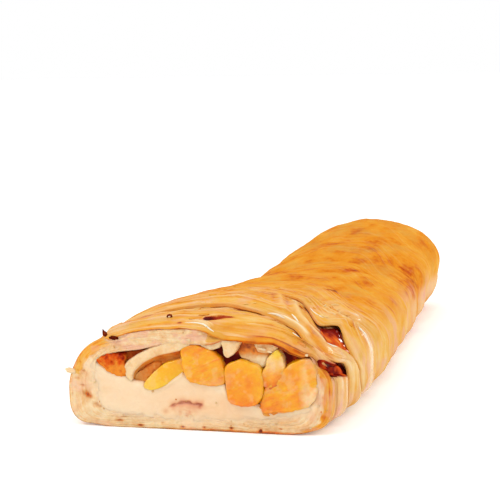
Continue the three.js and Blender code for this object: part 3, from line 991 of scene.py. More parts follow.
def cutRing(s, rim, inX, inZ, arc, shares):
    # the cut face at share s of the way from the mouth to the rim
    torn, shoulder, outer, bare = shares
    wall = np.hypot(rim[:, 0] - inX, rim[:, 2] - inZ)
    x, z = mix(inX, rim[:, 0], s), mix(inZ, rim[:, 2], s)
    depth = (1 - s) * wall
    layers = noise(arc, depth, 0, (16, 0.75, 1), 61, 3)
    threads = noise(arc, depth, 0, (5, 0.4, 1), 62, 2)
    crumb = noise(x, 0, z, 2.4, 63, 3)
    y = -face["layerRelief"] * layers - face["crumbRelief"] * crumb - face["threadRelief"] * threads
    rounding = np.maximum(0, 1 - depth / 1.2) ** 2 * 0.8 + bare * np.maximum(0, 1 - s * wall) ** 2 * 0.9
    rounding += face["shoulderBack"] * shoulder * np.maximum(0, 1 - depth / 7.5) ** 2
    rounding += face["outerBack"] * outer * np.maximum(0, 1 - depth / 4.0) ** 2
    y = y * smooth(depth, -0.6, 1.2) + rounding + 0.35
    y += torn * face["tornBack"] * smooth(s, 0.1, 1) ** 1.5

    skinEdge = smooth(depth, 0.9, 0.2)
    brown = 0.14 + 0.16 * noise(x, 0, z, 5, 67, 3) + 0.22 * smooth(layers, 0.1, 0.7) + 0.3 * skinEdge
    brown = brown + 0.2 * smooth(threads, 0.1, 0.6) - 0.12 * smooth(threads, -0.1, -0.6)
    brown += 0.14 * noise(x, 0, z, 1.7, 79, 2)
    # where the torn edge lies back under the overhang it is painted browner: folded skin and painted shade
    brown = brown + 0.5 * torn * smooth(s, 0.35, 0.0) - 0.1 * (1 - bare) * smooth(s * wall, 6, 1)
    baked = shoulder * smooth(depth + 1.2 * crumb, 6.6, 3.6)
    baked = np.maximum(baked, outer * smooth(depth + 0.8 * crumb, 3.4, 2.2))
    brown = mix(brown, 0.5 + 0.26 * noise(x, 0, z, 4, 68, 3) + 0.3 * layers + 0.2 * threads, baked)
    for hx, hz, wide, high, deepness, dark in holes:
        pit = bump(np.hypot((x - hx) / wide, (z - hz) / high), 1.0)
        y += deepness * pit
        brown += dark * pit

    sole = smooth(z, 1.6, 0.5) * smooth(x, -30, 5)
    roofBand = smooth(z, 24, 29) * (1 - torn)
    blush = 0.7 * roofBand * smooth(noise(x, 0, z, (4, 1, 2.4), 71, 3), -0.15, 0.4)
    blush += 0.4 * smooth(x, 40, 44) * smooth(noise(x, 0, z, 4, 73, 2), -0.2, 0.4)
    blush += 0.4 * smooth(-x, 30, 36) * smooth(noise(x, 0, z, 5, 74, 2), 0, 0.5)
    blush = np.maximum(blush * (1 - shoulder), 0.35 * baked * smooth(noise(x, 0, z, 3, 75, 2), 0, 0.5))
    smear = (1 - bare) * smooth(s * wall + 2.2 * noise(x, 0, z, 4, 77, 3), 7, 1.5)
    return np.stack([x, y, z], -1), {
        "bake_and_shade": brown + 0.5 * sole, "blush": blush * (1 - smear), "gloss": 0.3 * baked,
        "pale": np.maximum(0.9 * smear, 0.5 * smooth(threads, 0.3, 0.7) * (1 - baked)),
        "face": (1 - torn * smooth(s, 0.05, 0.3)) * (1 - baked), "skin": skinEdge * 0.5,
    }


def makeShell():
    # one closed cup: cavity wall forward, over the cut face, back along the outside to the far end
    turn, arc = turnColumns(face["columns"] + 1, -math.pi / 2, 1.5 * math.pi)
    turn, arc = turn[:-1], arc[:-1]
    rows = Rows(face["columns"])
    base = {**plainPaint, "face": 0.0, "skin": 0.0}
    rim = shellOutside(0.0, turn, arc)[0]
    middleX, middleZ = cavityMiddle(0.0)
    angle = np.arctan2(rim[:, 2] - middleZ, rim[:, 0] - middleX)
    end = loaf["length"] - cavity["endWall"]
    for y in np.concatenate([np.linspace(end, 40, 16), np.linspace(37, 2.4, 42)]):
        points, paint = wallRing(y, angle, end)
        rows.add(points, {**base, **paint})

    inX, inZ = cavityPoint(np.zeros(len(angle)), angle)
    torn = smooth(rim[:, 0], 0, 9) * smooth(rim[:, 2], 26, 31)  # here the skin folds over the edge
    shoulder = smooth(-rim[:, 0], 34, 42) * smooth(rim[:, 2], 15, 25)  # and here it is rounded and baked
    outer = smooth(rim[:, 0], 40, 45) * smooth(rim[:, 2], 30, 24)  # the right wall shows its skin
    bare = smooth(inZ - creamLine(inX, 0), -0.6, 0.6)  # no cream lies against the mouth's edge
    for s in np.linspace(0, 1, face["faceRows"]):
        points, paint = cutRing(s, rim, inX, inZ, arc, (torn, shoulder, outer, bare))
        rows.add(points, {**base, **paint})

    near = np.arange(0.9, face["nearLength"], face["nearStep"])
    startRound = loaf["length"] - loaf["endRound"]
    far = np.arange(face["nearLength"], startRound - 8, face["farStep"])
    closing = np.sin(np.linspace(0, 1, 14) * math.pi / 2) ** (2 / loaf["endPower"])
    back = torn * face["tornBack"] + shoulder * face["shoulderBack"] + outer * face["outerBack"]
    for y in np.concatenate([near, far, startRound - 4 + (loaf["endRound"] - 1.5) * closing]):
        points, paint = shellOutside(y + back * smooth(y, 9, 0), turn, arc)
        rows.add(points, {**base, **paint})
    points = rows.rings[-1].copy()
    for shrink in (0.7, 0.35):
        rows.add(points.mean(0) + (points - points.mean(0)) * shrink, base)
    made = makePiece("crust_shell", loft(*rows.arrays()), crustLook, ["pastry"])
    useCrumb(made)
    return made


def useCrumb(piece):
    # faces that belong to the cut get the finish of cut dough
    mesh = piece.data
    mesh.materials.append(crumbLook[0])
    share = np.zeros(len(mesh.vertices), np.float32)
    mesh.attributes["face"].data.foreach_get("value", share)
    for polygon in mesh.polygons:
        if share[list(polygon.vertices)].mean() > 0.5:
            polygon.material_index = 1


shell = makeShell()
print("shell", len(shell.data.polygons))


# strips of the top sheet

strip = {
    "low": -0.40 * math.pi, "high": 1.40 * math.pi,  # both feet reach under the loaf
    "girth": 300.0, "step": 0.8,  # the length round the loaf that is shared out, column width
    "finer": 0.7, "finerTo": 3,  # the strips nearest the cut have narrower columns
    "rowStep": 0.75, "fewestRows": 24,
    "overlap": 11.0,  # hidden length under the next strip
    "floor": 0.1,  # the underside's height, as a share of the lip's
    "under": (1.0, 0.8, 0.6, 0.45, 0.32, 0.24, 0.17, 0.11, 0.07, 0.035, 0.0),  # its rows, back to front
    "nose": 0.9, "noseRows": 10, "layer": 0.16,
    "wobble": 1.3, "ragged": 0.35, "sway": 4.0,
    "slit": 0.2, "slitReach": 6.0,
    "farFrom": 3, "farRamp": 14.0, "farLow": 0.7,  # strips past this one: length and drop of a melted edge
}
lifts = [  # where a lip stands open: strip, turn in degrees, half width in degrees, mm up
    (2, 50, 10, 0.7), (3, 57, 9, 0.5), (2, 17, 8, 1.6), (3, 38, 9, 1.6),
]
awning = {  # where the first strip hangs over the cut: its reach from left to right, front edge, slope
    "begin": (-0.71, -0.6), "end": (0.79, 0.87), "front": -0.5, "slope": 4.2,
    # how far it hangs down at places across
    "drops": [(-40, 1.8), (-37, 1.2), (-33.5, 0.6), (-28, 0.3), (-24, 0.1), (-18, 0.1), (-6, 0.1), (0, 0.3),
              (4, 1.1), (7, 2.6), (11, 3.9), (17, 3.8), (24, 3.4), (30, 2.4), (33, 2.6), (37, 3.0),
              (40, 2.4), (46, 1.0)],
}


def awningShare(turn):
    across = np.cos(turn)
    share = smooth(across, *awning["begin"]) * (1 - smooth(across, *awning["end"]))
    return share * (np.sin(turn) > 0)


def softness(i):
    # the strips lie closer and smoother towards the far end
    return np.interp(i, [2, 3, 4, 6], [1.0, 0.72, 0.34, 0.16])


def lipRamp(i):
    # far edges melt into the sheet below them over this length
    return strip["farRamp"] * (1 - softness(i)) * (i > strip["farFrom"])


def edgeNoise(arc, i, size, seed, octaves=2):
    # changes only along the edge of strip i
    return noise(arc, 0, i, (size, 1, 1), seed, octaves)


def lipShape(i, turn, arc):
    front = lipFront(i, turn) + strip["wobble"] * edgeNoise(arc, i, 17, 91)
    front += (1 - softness(i)) * strip["sway"] * edgeNoise(arc, i, 34, 92)
    front += strip["ragged"] * edgeNoise(arc, i, 2.6, 93)
    height = softness(i) * (1 + 0.28 * edgeNoise(arc, i, 19, 95))
    opened = strip["slit"] * (1 + 0.9 * edgeNoise(arc, i, 13, 97)) * raisedShare(turn)
    opened = opened * smooth(softness(i), 0.5, 1)
    for which, at, wide, up in lifts:
        if which == i:
            spot = bump(np.degrees(turn) - at, wide)
            opened += up * spot
            height += 0.3 * up * spot / loaf["lipHeight"]
    if i == 1:
        hangs = awningShare(turn)
        torn = edgeNoise(arc, i, 5, 98, 4)
        front = mix(front, awning["front"] + 0.8 * torn, hangs)
        across = plainPoint(np.zeros_like(turn), turn)[0]
        drop = np.interp(across, *np.transpose(awning["drops"]))
        opened -= (drop + 0.5 * torn) * hangs
    return front, height, opened


def nosePaint(v, i, arc, turn, x, y, hangs, sheets):
    # colours of a strip's edge at share v of its height; hangs is where it hangs over the cut
    edge = noise(arc, v * 3, i, (7, 1, 1), 107, 3)
    right = smooth(x, 15, 25)
    seams = smooth(x, 19, 26) * (bump(v - 0.46, 0.05) + bump(v - 0.66, 0.05))
    # darker towards the foot, and on the hanging edge towards its lower rim and on the right: browning and
    # painted shade
    browned = 0.5 + 0.2 * edge + 0.2 * (1 - v)
    overCut = 0.44 + 0.14 * edge + 0.3 * sheets + 0.34 * smooth(v, 0.16, 0) + 0.4 * seams
    overCut += right * (0.16 + 0.16 * smooth(v, 0.55, 0.35))
    # pale rising up an edge: pale laminated layers, partly painted highlight
    pale = (0.5 + 0.6 * edge) * (1 - 0.8 * smooth(y, 60, 140)) * v * (1 - 0.6 * hangs)
    pale += 0.9 * smooth(np.cos(turn), 0.88, 0.96) * (i == 1)
    pale += 0.8 * hangs * smooth(sheets, 0.1, 0.5) * (1 - right)
    return {**plainPaint, "bake_and_shade": mix(browned, overCut, hangs), "gloss": 0.5 * hangs * smooth(edge, 0, 0.5),
            "pale": np.clip(pale, 0, 1)}


def makeStrip(i):
    finer = strip["finer"] if i <= strip["finerTo"] else 1.0
    columns = int(strip["girth"] / (strip["step"] * finer))
    turn, arc = turnColumns(columns, strip["low"], strip["high"])
    front, height, opened = lipShape(i, turn, arc)
    following = lipShape(i + 1, turn, arc)[0]
    back = following + strip["overlap"]
    topRows = (strips[i + 1][0] - strips[i][0] + strip["overlap"]) / (strip["rowStep"] * finer)
    raised = raisedShare(turn)
    isFar = i > strip["farFrom"]
    hangs = awningShare(turn) if i == 1 else np.zeros(columns)
    begun = lipRamp(i) / np.maximum(following - front, 1)
    lipTop = stripHeight(begun, turn) * mix(height, 1.0, begun)
    floorLevel = strip["floor"] * loaf["lipHeight"] * raised

    def underside(d):
        # d goes from 1 at the hidden back edge to 0 at the nose
        y = mix(front, back, d)
        gapHere = opened * (1 - smooth(y - front, 0, strip["slitReach"]))
        out = floorLevel + gapHere - 1.3 * smooth(y - front, 3.5, 12) - strip["farLow"] * raised * isFar
        if isFar:
            sunk = crustAt(y, turn, arc, y - front, i)[0] * raised
            out += np.minimum(sunk, 0) * smooth(y - front, 6, 0)
        points = skinPoint(y, turn, out)
        stained = 0.0
        if i == 1:
            hollow, stained = pocketShares(points[:, 0], y, points[:, 2], i)[:2]
            points = skinPoint(y, turn, out - 1.5 * hollow)
        points = onTable(points)
        # the underside is painted dark brown: its browning and painted shade where it shows in slits
        dark = 0.75 + 0.15 * noise(points[:, 0], y, points[:, 2], 5, 101, 2)
        return points, {**plainPaint, "bake_and_shade": dark, "jam": stained}

    def nose(v):
        # v goes from 0 at the underside to 1 at the top
        sheets = noise(arc, v * 6, i, (15, 0.6, 1), 108, 3)
        layer = strip["layer"] * np.sin(v * 5 * math.pi + 2.2 * edgeNoise(arc, i, 9, 103))
        layer += 0.5 * hangs * sheets
        bulge = strip["nose"] * math.sin(math.pi * v ** 0.85) * raised * softness(i)
        y = front - bulge + layer * raised + 0.5 * v ** 3 * raised + hangs * awning["slope"] * v ** 2.4
        y += v * lipRamp(i)
        out = mix(floorLevel + opened, lipTop, mix(smooth(v, -0.1, 1.05), v ** 0.8, hangs))
        points = onTable(skinPoint(y, turn, out))
        paint = nosePaint(v, i, arc, turn, points[:, 0], y, hangs, sheets)
        if i == 1 or isFar:
            relief, over = paintCrust(points[:, 0], y, points[:, 2], arc, y - front, i)
            if i == 1:
                top = smooth(v, 0.35, 0.8) * np.maximum(hangs, smooth(np.cos(turn), 0.84, 0.9))
            else:
                top = np.maximum(raised, 0.01) ** 0.3
                out -= strip["farLow"] * raised * (1 - v) ** 2
            points = onTable(skinPoint(y, turn, out + relief * top))
            paint = {key: mix(paint[key], over[key], top) for key in over}
        if i == 1:
            hollow, stained = pocketShares(points[:, 0], y, points[:, 2], i)[:2]
            points = skinPoint(y, turn, out + relief * top - 1.4 * hollow * (1 - top))
            paint["jam"] = np.maximum(paint["jam"], stained)
        return points, paint

    def outer(t):
        # t goes from 0 at the nose to 1 at the hidden back edge
        y = mix(front + lipRamp(i), back, t) + (0.5 * raised + hangs * awning["slope"]) * (1 - t) ** 8
        share = (y - front) / np.maximum(following - front, 1)
        past = y - following
        out = stripHeight(share, turn) * mix(height, 1.0, np.clip(share, 0, 1))
        out -= (1.5 + strip["floor"] * loaf["lipHeight"]) * smooth(past, 3.5, 9)
        relief, paint = crustAt(y, turn, arc, y - front, i)
        sole = smooth(-np.sin(turn), 0.55, 0.8)
        points = onTable(skinPoint(y, turn, out + relief * (1 - sole) * smooth(past, 5, 0)))
        # near the cut a lip's crest is painted paler: partly pale layers, partly painted highlight; far off
        # it is browner
        crest = bump(y - front - 1.6, 1.8) * raised * (1 - hangs)
        broken = smooth(edgeNoise(arc, i, 12, 110), -0.3, 0.3)
        patchy = smooth(edgeNoise(arc, i, 11, 109), -0.3, 0.4)
        paint["bake_and_shade"] = paint["bake_and_shade"] + 0.1 * crest * smooth(y, 60, 130) * broken + 0.25 * sole
        paint["pale"] = np.clip(paint["pale"] + 0.45 * crest * (1 - smooth(y, 60, 120)) * patchy, 0, 1.5)
        # painted shade under the edge of the next strip, deeper where its lip stands open
        wide = sum(bump(np.degrees(turn) - at, span) for which, at, span, up in lifts if which == i + 1)
        shade = smooth(past, -2.2, 1.0) * raised
        paint["bake_and_shade"] += shade * (0.3 * smooth(softness(i + 1), 0.4, 1) + 0.5 * wide)
        return points, paint

    rows = Rows(columns)
    for d in strip["under"]:
        rows.add(*underside(d))
    noseRows = strip["noseRows"] * (3 if i == 1 else 1)
    for k in range(1, noseRows):
        rows.add(*nose(k / noseRows))
    for t in np.linspace(0, 1, int(max(strip["fewestRows"], topRows))) ** 1.15:
        rows.add(*outer(t))
    rings, values = rows.arrays()
    rings = rings.transpose(1, 0, 2)
    before = rings[:, :, 1] < 0  # what would stand in front of the cut is pressed back to it
    rings[:, :, 1] = np.where(before, rings[:, :, 1] * 0.02, rings[:, :, 1])
    body = loft(rings, {key: number.T for key, number in values.items()})
    return makePiece(f"strip_{i:02d}", body, crustLook, ["pastry"])


endStrip = {
    "columns": 380,
    "under": (12.0, 8.0, 5.0, 3.0, 1.5, 0.6, 0.0),  # mm behind its front edge
    "straightRows": 19, "roundRows": 52,
    "bulge": 0.9,  # of the middle of the closed end
}


def makeEndStrip(i):
    # the last strip closes round the far end
    turn, arc = turnColumns(endStrip["columns"] + 1, -math.pi / 2, 1.5 * math.pi)
    turn, arc = turn[:-1], arc[:-1]
    front, height, opened = lipShape(i, turn, arc)
    raised = raisedShare(turn)
    lipTop = stripHeight(0.0, turn) * height
    floorLevel = strip["floor"] * loaf["lipHeight"] * raised
    length = loaf["length"]
    rows = Rows(endStrip["columns"])
    # its underside is painted dark brown: browning and painted shade where it shows
    for d in endStrip["under"]:
        gapHere = opened * (1 - smooth(d, 0, strip["slitReach"]))
        out = floorLevel + gapHere - 1.2 * smooth(d, 3, 11) - 2 * strip["farLow"] * raised
        rows.add(onTable(skinPoint(front + d, turn, out)), {**plainPaint, "bake_and_shade": 0.75})
    for k in range(1, strip["noseRows"]):
        v = k / strip["noseRows"]
        bulge = strip["nose"] * math.sin(math.pi * v ** 0.85) * softness(i)
        y = front - (bulge - 0.5 * v ** 3) * raised + v * lipRamp(i)
        out = mix(floorLevel + opened, lipTop, smooth(v, -0.1, 1.05))
        out -= strip["farLow"] * raised * (1 - v) ** 2
        relief, paint = crustAt(y, turn, arc, y - front, i)
        rows.add(onTable(skinPoint(y, turn, out + relief * raised)), paint)

    front += lipRamp(i) * 0.999
    begin = np.maximum(length - loaf["endRound"], front + 1)
    straight = [mix(front, begin, f) for f in np.linspace(0, 1, endStrip["straightRows"], endpoint=False)]
    psi = np.linspace(0, 1, endStrip["roundRows"]) ** 0.8 * math.pi / 2
    closing = [begin + (length - begin) * math.sin(p) ** (2 / loaf["endPower"]) for p in psi]
    for y in straight + closing:
        t = (y - front) / (length - front)
        out = stripHeight(t, turn) * mix(height, 1.0, t) * (1 - t)
        relief, paint = crustAt(y, turn, arc, y - front, i)
        sole = smooth(-np.sin(turn), 0.55, 0.8)
        rounded = smooth(length - y, 0, 14)
        paint["bake_and_shade"] = paint["bake_and_shade"] + 0.2 * sole - 0.12 * (1 - rounded)
        out += relief * (1 - sole) * mix(0.35, 1.0, rounded)
        rows.add(onTable(skinPoint(y, turn, out)), paint)
    edge = rows.rings[-1].copy()
    middle = edge.mean(0)
    for share in np.linspace(0.9, 0.1, 9):
        points = middle + (edge - middle) * share
        lumps = 0.3 * noise(points[:, 0], 0, points[:, 2], 7, 111, 2)
        points[:, 1] += endStrip["bulge"] * (1 - share ** 2) + lumps
        rows.add(onTable(points), rows.numbers[-1])
    return makePiece(f"strip_{i:02d}", loft(*rows.arrays()), crustLook, ["pastry"])


for i in range(1, len(strips) - 1):
    made = makeStrip(i)
    print("strip", i, len(made.data.polygons))
made = makeEndStrip(len(strips) - 1)
print("end strip", len(made.data.polygons))


# the filling

def mouthDistance(x, z):
    # how far a place lies outside the mouth; less than 0 inside it
    middleX, middleZ = cavityMiddle(0.0)
    return np.hypot(x - middleX, z - middleZ) - mouthRadius(np.arctan2(z - middleZ, x - middleX))


def keepInRoom(x, y, z, into):
    middleX, middleZ = cavityMiddle(y)
    wallX, wallZ = cavityPoint(y, np.arctan2(z - middleZ, x - middleX))
    limit = np.hypot(wallX - middleX, wallZ - middleZ) + into
    share = np.minimum(1, limit / np.maximum(np.hypot(x - middleX, z - middleZ), 1e-6))
    return middleX + (x - middleX) * share, middleZ + (z - middleZ) * share


cream = {
    "left": -45, "right": 46, "columns": 190, "rows": 64,
    "foot": 2.2,  # height of its lower edge
    "into": 0.35,  # it reaches this far into the dough round it
    "spread": 7.0, "sink": 1.0,  # at the cut it is smeared over the dough and thins out there
    "smear": 0.4, "climb": 0.55,  # it comes forward this much round the fruit
    "gap": [(-12.2, 8.2), (-9.4, 9.6), (-5.3, 11), (-1, 10.2), (1.6, 10.4), (3, 9.6)],
    "gapWide": 0.9, "gapDeep": 0.6,
    "crumbled": (-4.2, 6.6, 2.4, 1.7),  # rough place under the gap: x, z, stretch across, radius
    "stains": [(-12.6, 7.2, 1.2, 1.4, 0.42), (2, 9.4, 2, 1.2, 0.2)],  # the same and how much
}


def makeCream():
    across, up = np.meshgrid(np.linspace(cream["left"], cream["right"], cream["columns"]),
                             np.linspace(0, 1, cream["rows"]))
    x = across + 0.4 * noise(across, 0, up * 9, 4, 120, 2)
    top = creamLine(x, 0) + 0.5 * noise(x, 0, 0, 6, 121, 3)
    z = mix(cream["foot"], top, up)
    wall = mouthDistance(x, z)
    y = -cream["smear"] * noise(x, 0, z, (9, 1, 5), 123, 3) - 0.16 * noise(x, 0, z, 1.8, 125, 2)
    y += cream["sink"] * smooth(wall + 1.6 * noise(x, 0, z, 4, 122, 3), -1, cream["spread"])
    y += 3.5 * smooth(wall, 2.6, 6)
    climb = np.zeros_like(x)
    for look in peaches.values():
        climb = np.maximum(climb, smooth(insideOutline(x, z, look["outline"]), -1.8, 0.3))
    y -= cream["climb"] * climb
    y += np.maximum(0, 1 - (top - z) / 1.6) ** 2
    away, along = pathDistance(x, z, cream["gap"])
    away += 0.5 * noise(x, 0, z, 1.6, 126, 2)
    ends = smooth(along, 0, 0.2) * smooth(1 - along, 0, 0.25)
    cut = smooth(away, cream["gapWide"] * (0.4 + 0.6 * ends), 0.1) * ends
    halo = bump(away, 1.9) * ends
    spotX, spotZ, stretch, size = cream["crumbled"]
    below = bump(np.hypot((x - spotX) / stretch, z - spotZ), size)
    crumbly = noise(x, 0, z, 1.1, 127, 2)
    y = y + cream["gapDeep"] * cut + 0.8 * below * crumbly

    stain = 0.16 + 0.12 * climb + 0.2 * noise(x, 0, z, (12, 1, 6), 129, 3) + (0.2 + 0.2 * crumbly) * cut
    stain += 0.5 * halo
    stain += below * (0.34 + 0.4 * noise(x, 0, z, 1.4, 131, 2))
    stain += 0.06 * bump(z - 13, 5) * bump(x - 4, 14)
    for spotX, spotZ, stretch, size, much in cream["stains"]:
        stain += much * bump(np.hypot((x - spotX) / stretch, z - spotZ), size)

    front = np.stack([x, y, z], -1)
    end = loaf["length"] - cavity["endWall"] - 1
    depths = np.concatenate([np.linspace(2.4, 34, 24), np.linspace(40, end, 20)])
    border = gridBorder(*front.shape[:2])
    edge, share = front.reshape(-1, 3)[border], up.reshape(-1)[border]
    rings = []
    for depth in depths:
        level = mix(edge[:, 2], creamLine(edge[:, 0], depth), smooth(share, 0.98, 1))
        inX, inZ = keepInRoom(edge[:, 0], np.full(len(edge), depth), level, cream["into"])
        rings.append(np.stack([inX, np.full(len(edge), depth), inZ], -1))
    rings = np.array(rings)
    behind = 0.2 + 0.2 * noise(rings[..., 0], rings[..., 1], rings[..., 2], 7, 133, 3)
    stain = np.concatenate([stain.reshape(-1), behind.reshape(-1), [0.2]])
    return makePiece("cream_layer", (*slab(front, rings), {"stain": stain}), creamLook, ["cream_filling"])


bed = {  # juicy fruit behind the slices; its dark stains are painted shade in the hollows under the roof
    "columns": 260, "rows": 60, "middle": (0.0, 25.0), "frontLeft": 4.6, "frontRight": 3.6, "below": 0.3,
    "lump": 1.4,
    "stains": [(8.6, 31, 2.2), (10.6, 27.5, 2.2), (14, 27.6, 2.4), (17, 28.6, 1.4), (35.2, 28.2, 2.0),
               (33.8, 30, 1.4), (38.6, 29.6, 1.2)],
}


def makeFruitBed():
    count = bed["columns"]
    angle = np.linspace(-math.pi, math.pi, count, endpoint=False)
    end = loaf["length"] - cavity["endWall"] - 1

    def section(y):
        x, z = cavityPoint(np.full(count, y), angle)
        x, z = x - 0.4 * np.cos(angle), z - 0.4 * np.sin(angle)
        return x, np.maximum(z, creamLine(x, y) - bed["below"])

    rings = []
    edgeX, edgeZ = section(bed["frontRight"])
    for q in np.linspace(0.04, 1, bed["rows"]):
        x, z = mix(bed["middle"][0], edgeX, q), mix(bed["middle"][1], edgeZ, q)
        y = mix(bed["frontLeft"], bed["frontRight"], smooth(x, -3, 12))
        y = y - bed["lump"] * noise(x, 0, z, 5, 141, 3) + 2.5 * smooth(q, 0.9, 1)
        rings.append(np.stack([x, y, z], -1))
    for y in np.concatenate([np.linspace(bed["frontLeft"] + 5, 60, 14), np.linspace(66, end, 20)]):
        x, z = section(y)
        rings.append(np.stack([x, np.full(count, y), z], -1))
    rings = np.array(rings)
    x, y, z = np.moveaxis(rings, -1, 0)
    ripe = 0.42 + 0.24 * noise(x, y, z, 5, 143, 3)
    # painted shade in the hollows under the roof
    for px, pz, size in bed["stains"]:
        ripe += 0.7 * bump(np.hypot(x - px, z - pz), size)
    return makePiece("peach_bed", loft(rings, {"ripe": ripe}), deepLook, ["peach_filling"])


seam = {"depth": 7, "lean": (0, 0), "slope": (0, 0), "fibre": 0.1, "lump": 0.4}
peaches = {
    # outline in x and z, front edge, depth, lean of the cut (dy for x, dy for z), ripeness and its slope
    "peach_slice_left": {
        "outline": [(-20.9, 16.8), (-18.5, 20.7), (-14, 24.7), (-9.7, 26.5), (-5.1, 27.5), (-3.4, 25),
                    (-4.4, 22.3), (-8.5, 19.8), (-12, 17.4), (-15.5, 15.8), (-18.5, 15.2)],
        "front": 0.5, "depth": 30, "lean": (0.05, 0.22), "ripe": 0.2, "slope": (0.022, 0.016),
        "fibre": 0.05, "lump": 0.25,
    },
    "peach_slice_middle": {
        "outline": [(-6.4, 30.8), (-5, 32.3), (-1, 33), (3.3, 31.9), (6.4, 30.4), (9.3, 28), (10.8, 24.7),
                    (11.5, 21.4), (10.8, 18.2), (6, 17.8), (-0.4, 18.2), (-3.8, 20.3), (-5, 23.3),
                    (-5.8, 27.5)],
        "front": -0.5, "depth": 34, "lean": (0.02, 0.1), "ripe": 0.42, "slope": (0.004, 0.008),
        "fibre": 0.34, "lump": 0.5,
    },
    "peach_chunk": {
        "outline": [(10.9, 22), (11.7, 25.6), (14.6, 27.2), (17.4, 28), (20.9, 27), (24.6, 25.8), (26, 22),
                    (26.2, 17.9), (25.4, 13.8), (22.6, 11), (18.2, 10.7), (13.8, 11.8), (11.9, 15.7)],
        "front": -1.3, "depth": 26, "lean": (0.0, 0.12), "ripe": 0.4, "slope": (-0.008, -0.022),
        "fibre": 0.14, "lump": 0.6,
    },
    "peach_wedge": {
        "outline": [(31.2, 32.2), (29.3, 30.7), (27.6, 28.6), (26.6, 25.3), (25.2, 22), (25.6, 18.6),
                    (28.8, 17.4), (32, 19.4), (34.4, 23.6), (33.8, 28), (32.8, 31)],
        "front": -0.2, "depth": 20, "lean": (0.0, 0.12), "ripe": 0.38, "slope": (0.02, -0.07),
        "fibre": 0.12, "lump": 0.7, "creamy": 0.8, "creamyFrom": 0.0,
    },
    "peach_slice_right": {
        "outline": [(34, 24.6), (36.2, 27), (40.6, 28.7), (44.2, 28.2), (46, 25), (46.5, 20), (46, 14.6),
                    (43.6, 11), (38.6, 9.6), (34.5, 9.2), (31, 9), (27, 8.2), (24.6, 10.6), (25.2, 14.6),
                    (27, 18), (31.4, 20)],
        "front": -0.6, "depth": 30, "lean": (0.02, 0.06), "ripe": 0.42, "slope": (-0.008, -0.004),
        "fibre": 0.34, "lump": 0.9, "creamy": 0.95, "creamyFrom": 4.6,
    },
    "peach_seam_left": {
        "outline": [(10.4, 24.4), (12.2, 24), (12.8, 20), (14.2, 12.6), (12.2, 13.6), (10.2, 18.4)],
        **seam, "front": 1.2, "ripe": 0.62,
    },
    "peach_seam_right": {
        "outline": [(25, 21.4), (26.8, 20.6), (26.8, 13), (25.6, 9.8), (24.2, 12)],
        **seam, "front": 0.6, "ripe": 0.66,
    },
    "peach_tail": {
        "outline": [(24.2, 10.6), (28.6, 9.4), (32, 9.2), (30, 7.2), (26, 7.2)],
        **seam, "front": -0.5, "ripe": 0.55, "depth": 6, "lump": 0.3,
    },
}


def cutPiece(outline, front, depth, lean=(0, 0), columns=150, faceRows=24, sideRows=20, edge=0.7):
    # a chunk with a drawn section, rounded at the cut edge and drawn in at its back
    ring = roundCurve(outline, columns)
    middle = ring.mean(0)
    reach = np.hypot(*(ring - middle).T)
    rings = []
    for q in np.linspace(0.05, 1, faceRows):
        x, z = (middle + (ring - middle) * q).T
        near = np.clip(1 - (1 - q) * reach / edge, 0, 1)
        y = front + edge * (1 - np.sqrt(1 - near ** 2 * 0.98))
        rings.append(np.stack([x, y + lean[0] * (x - middle[0]) + lean[1] * (z - middle[1]), z], -1))
    for b in np.linspace(0.04, 1, sideRows):
        size = np.interp(b, [0, 0.1, 0.55, 0.85, 1], [1, 1.01, 0.98, 0.85, 0.6])
        x, z = (middle + (ring - middle) * size).T
        y = front + edge + b * (depth - edge)
        y += (lean[0] * (x - middle[0]) + lean[1] * (z - middle[1])) * (1 - b)
        rings.append(np.stack([x, np.broadcast_to(y, x.shape), z], -1))
    return np.array(rings)


def makePeach(name, look, seed):
    rings = cutPiece(look["outline"], look["front"], look["depth"], look["lean"])
    x, y, z = np.moveaxis(rings, -1, 0)
    middle = rings[0].mean(0)
    grain = noise(x + 0.5 * z, y, z - 0.45 * x, (7, 3, 0.8), seed, 3)
    ripe = look["ripe"] + look["slope"][0] * (x - middle[0]) + look["slope"][1] * (z - middle[2])
    ripe = ripe + 0.6 * look["fibre"] * grain + 0.12 * noise(x, y, z, 4, seed + 7, 3)
    ripe += 0.35 * smooth(y, 3, 12)
    speck = smooth(noise(x, y, z, 2.4, seed + 9, 3), 0.05, 0.5)
    # a creamy coating: over the upper part, or towards the right where creamyFrom is more than 0
    begin = look.get("creamyFrom", 0.0)
    coated = smooth(x - middle[0], begin - 2, begin + 3) if begin > 0 else smooth(z - middle[2], -4, 3)
    patchy = smooth(noise(x, y, z, 3.4, seed + 11, 3), -0.5, 0.4)
    creamy = look.get("creamy", 0.0) * coated * patchy + 0.25 * speck
    points, faces, values = loft(rings, {"ripe": ripe, "creamy": np.clip(creamy, 0, 1)})
    points = roughen(points, faces, look["lump"], 4.2, seed, 3)
    lines = noise(points[:, 0] + 0.5 * points[:, 2], points[:, 1], points[:, 2] - 0.45 * points[:, 0],
                  (7, 3, 0.8), seed, 3)
    points += pointNormals(points, faces) * (look["fibre"] * lines)[:, None]
    nodes = [name] if name in frame["nodes"] else []
    return makePiece(name + "_flesh", (points, faces, values), peachLook, nodes)


roll = {
    "outer": [(-26.4, 18), (-28.5, 20), (-29.2, 22.8), (-28.4, 25), (-26.2, 26.9), (-22.6, 29.2),
              (-18.7, 31.2), (-14.3, 32.8), (-10, 34.2), (-6.5, 34.9), (-2.5, 35.4)],
    "inner": [(-25.6, 18.8), (-25.4, 21), (-24.1, 23), (-21.4, 25.2), (-17.9, 27.4), (-13.9, 28.8),
              (-10, 29.8), (-6.6, 30.6), (-4.4, 31.8), (-2, 33.2)],
    "rows": 90, "front": 0.1, "back": 44.0, "hollow": 5.6,  # how far the browned inner face steps in
}


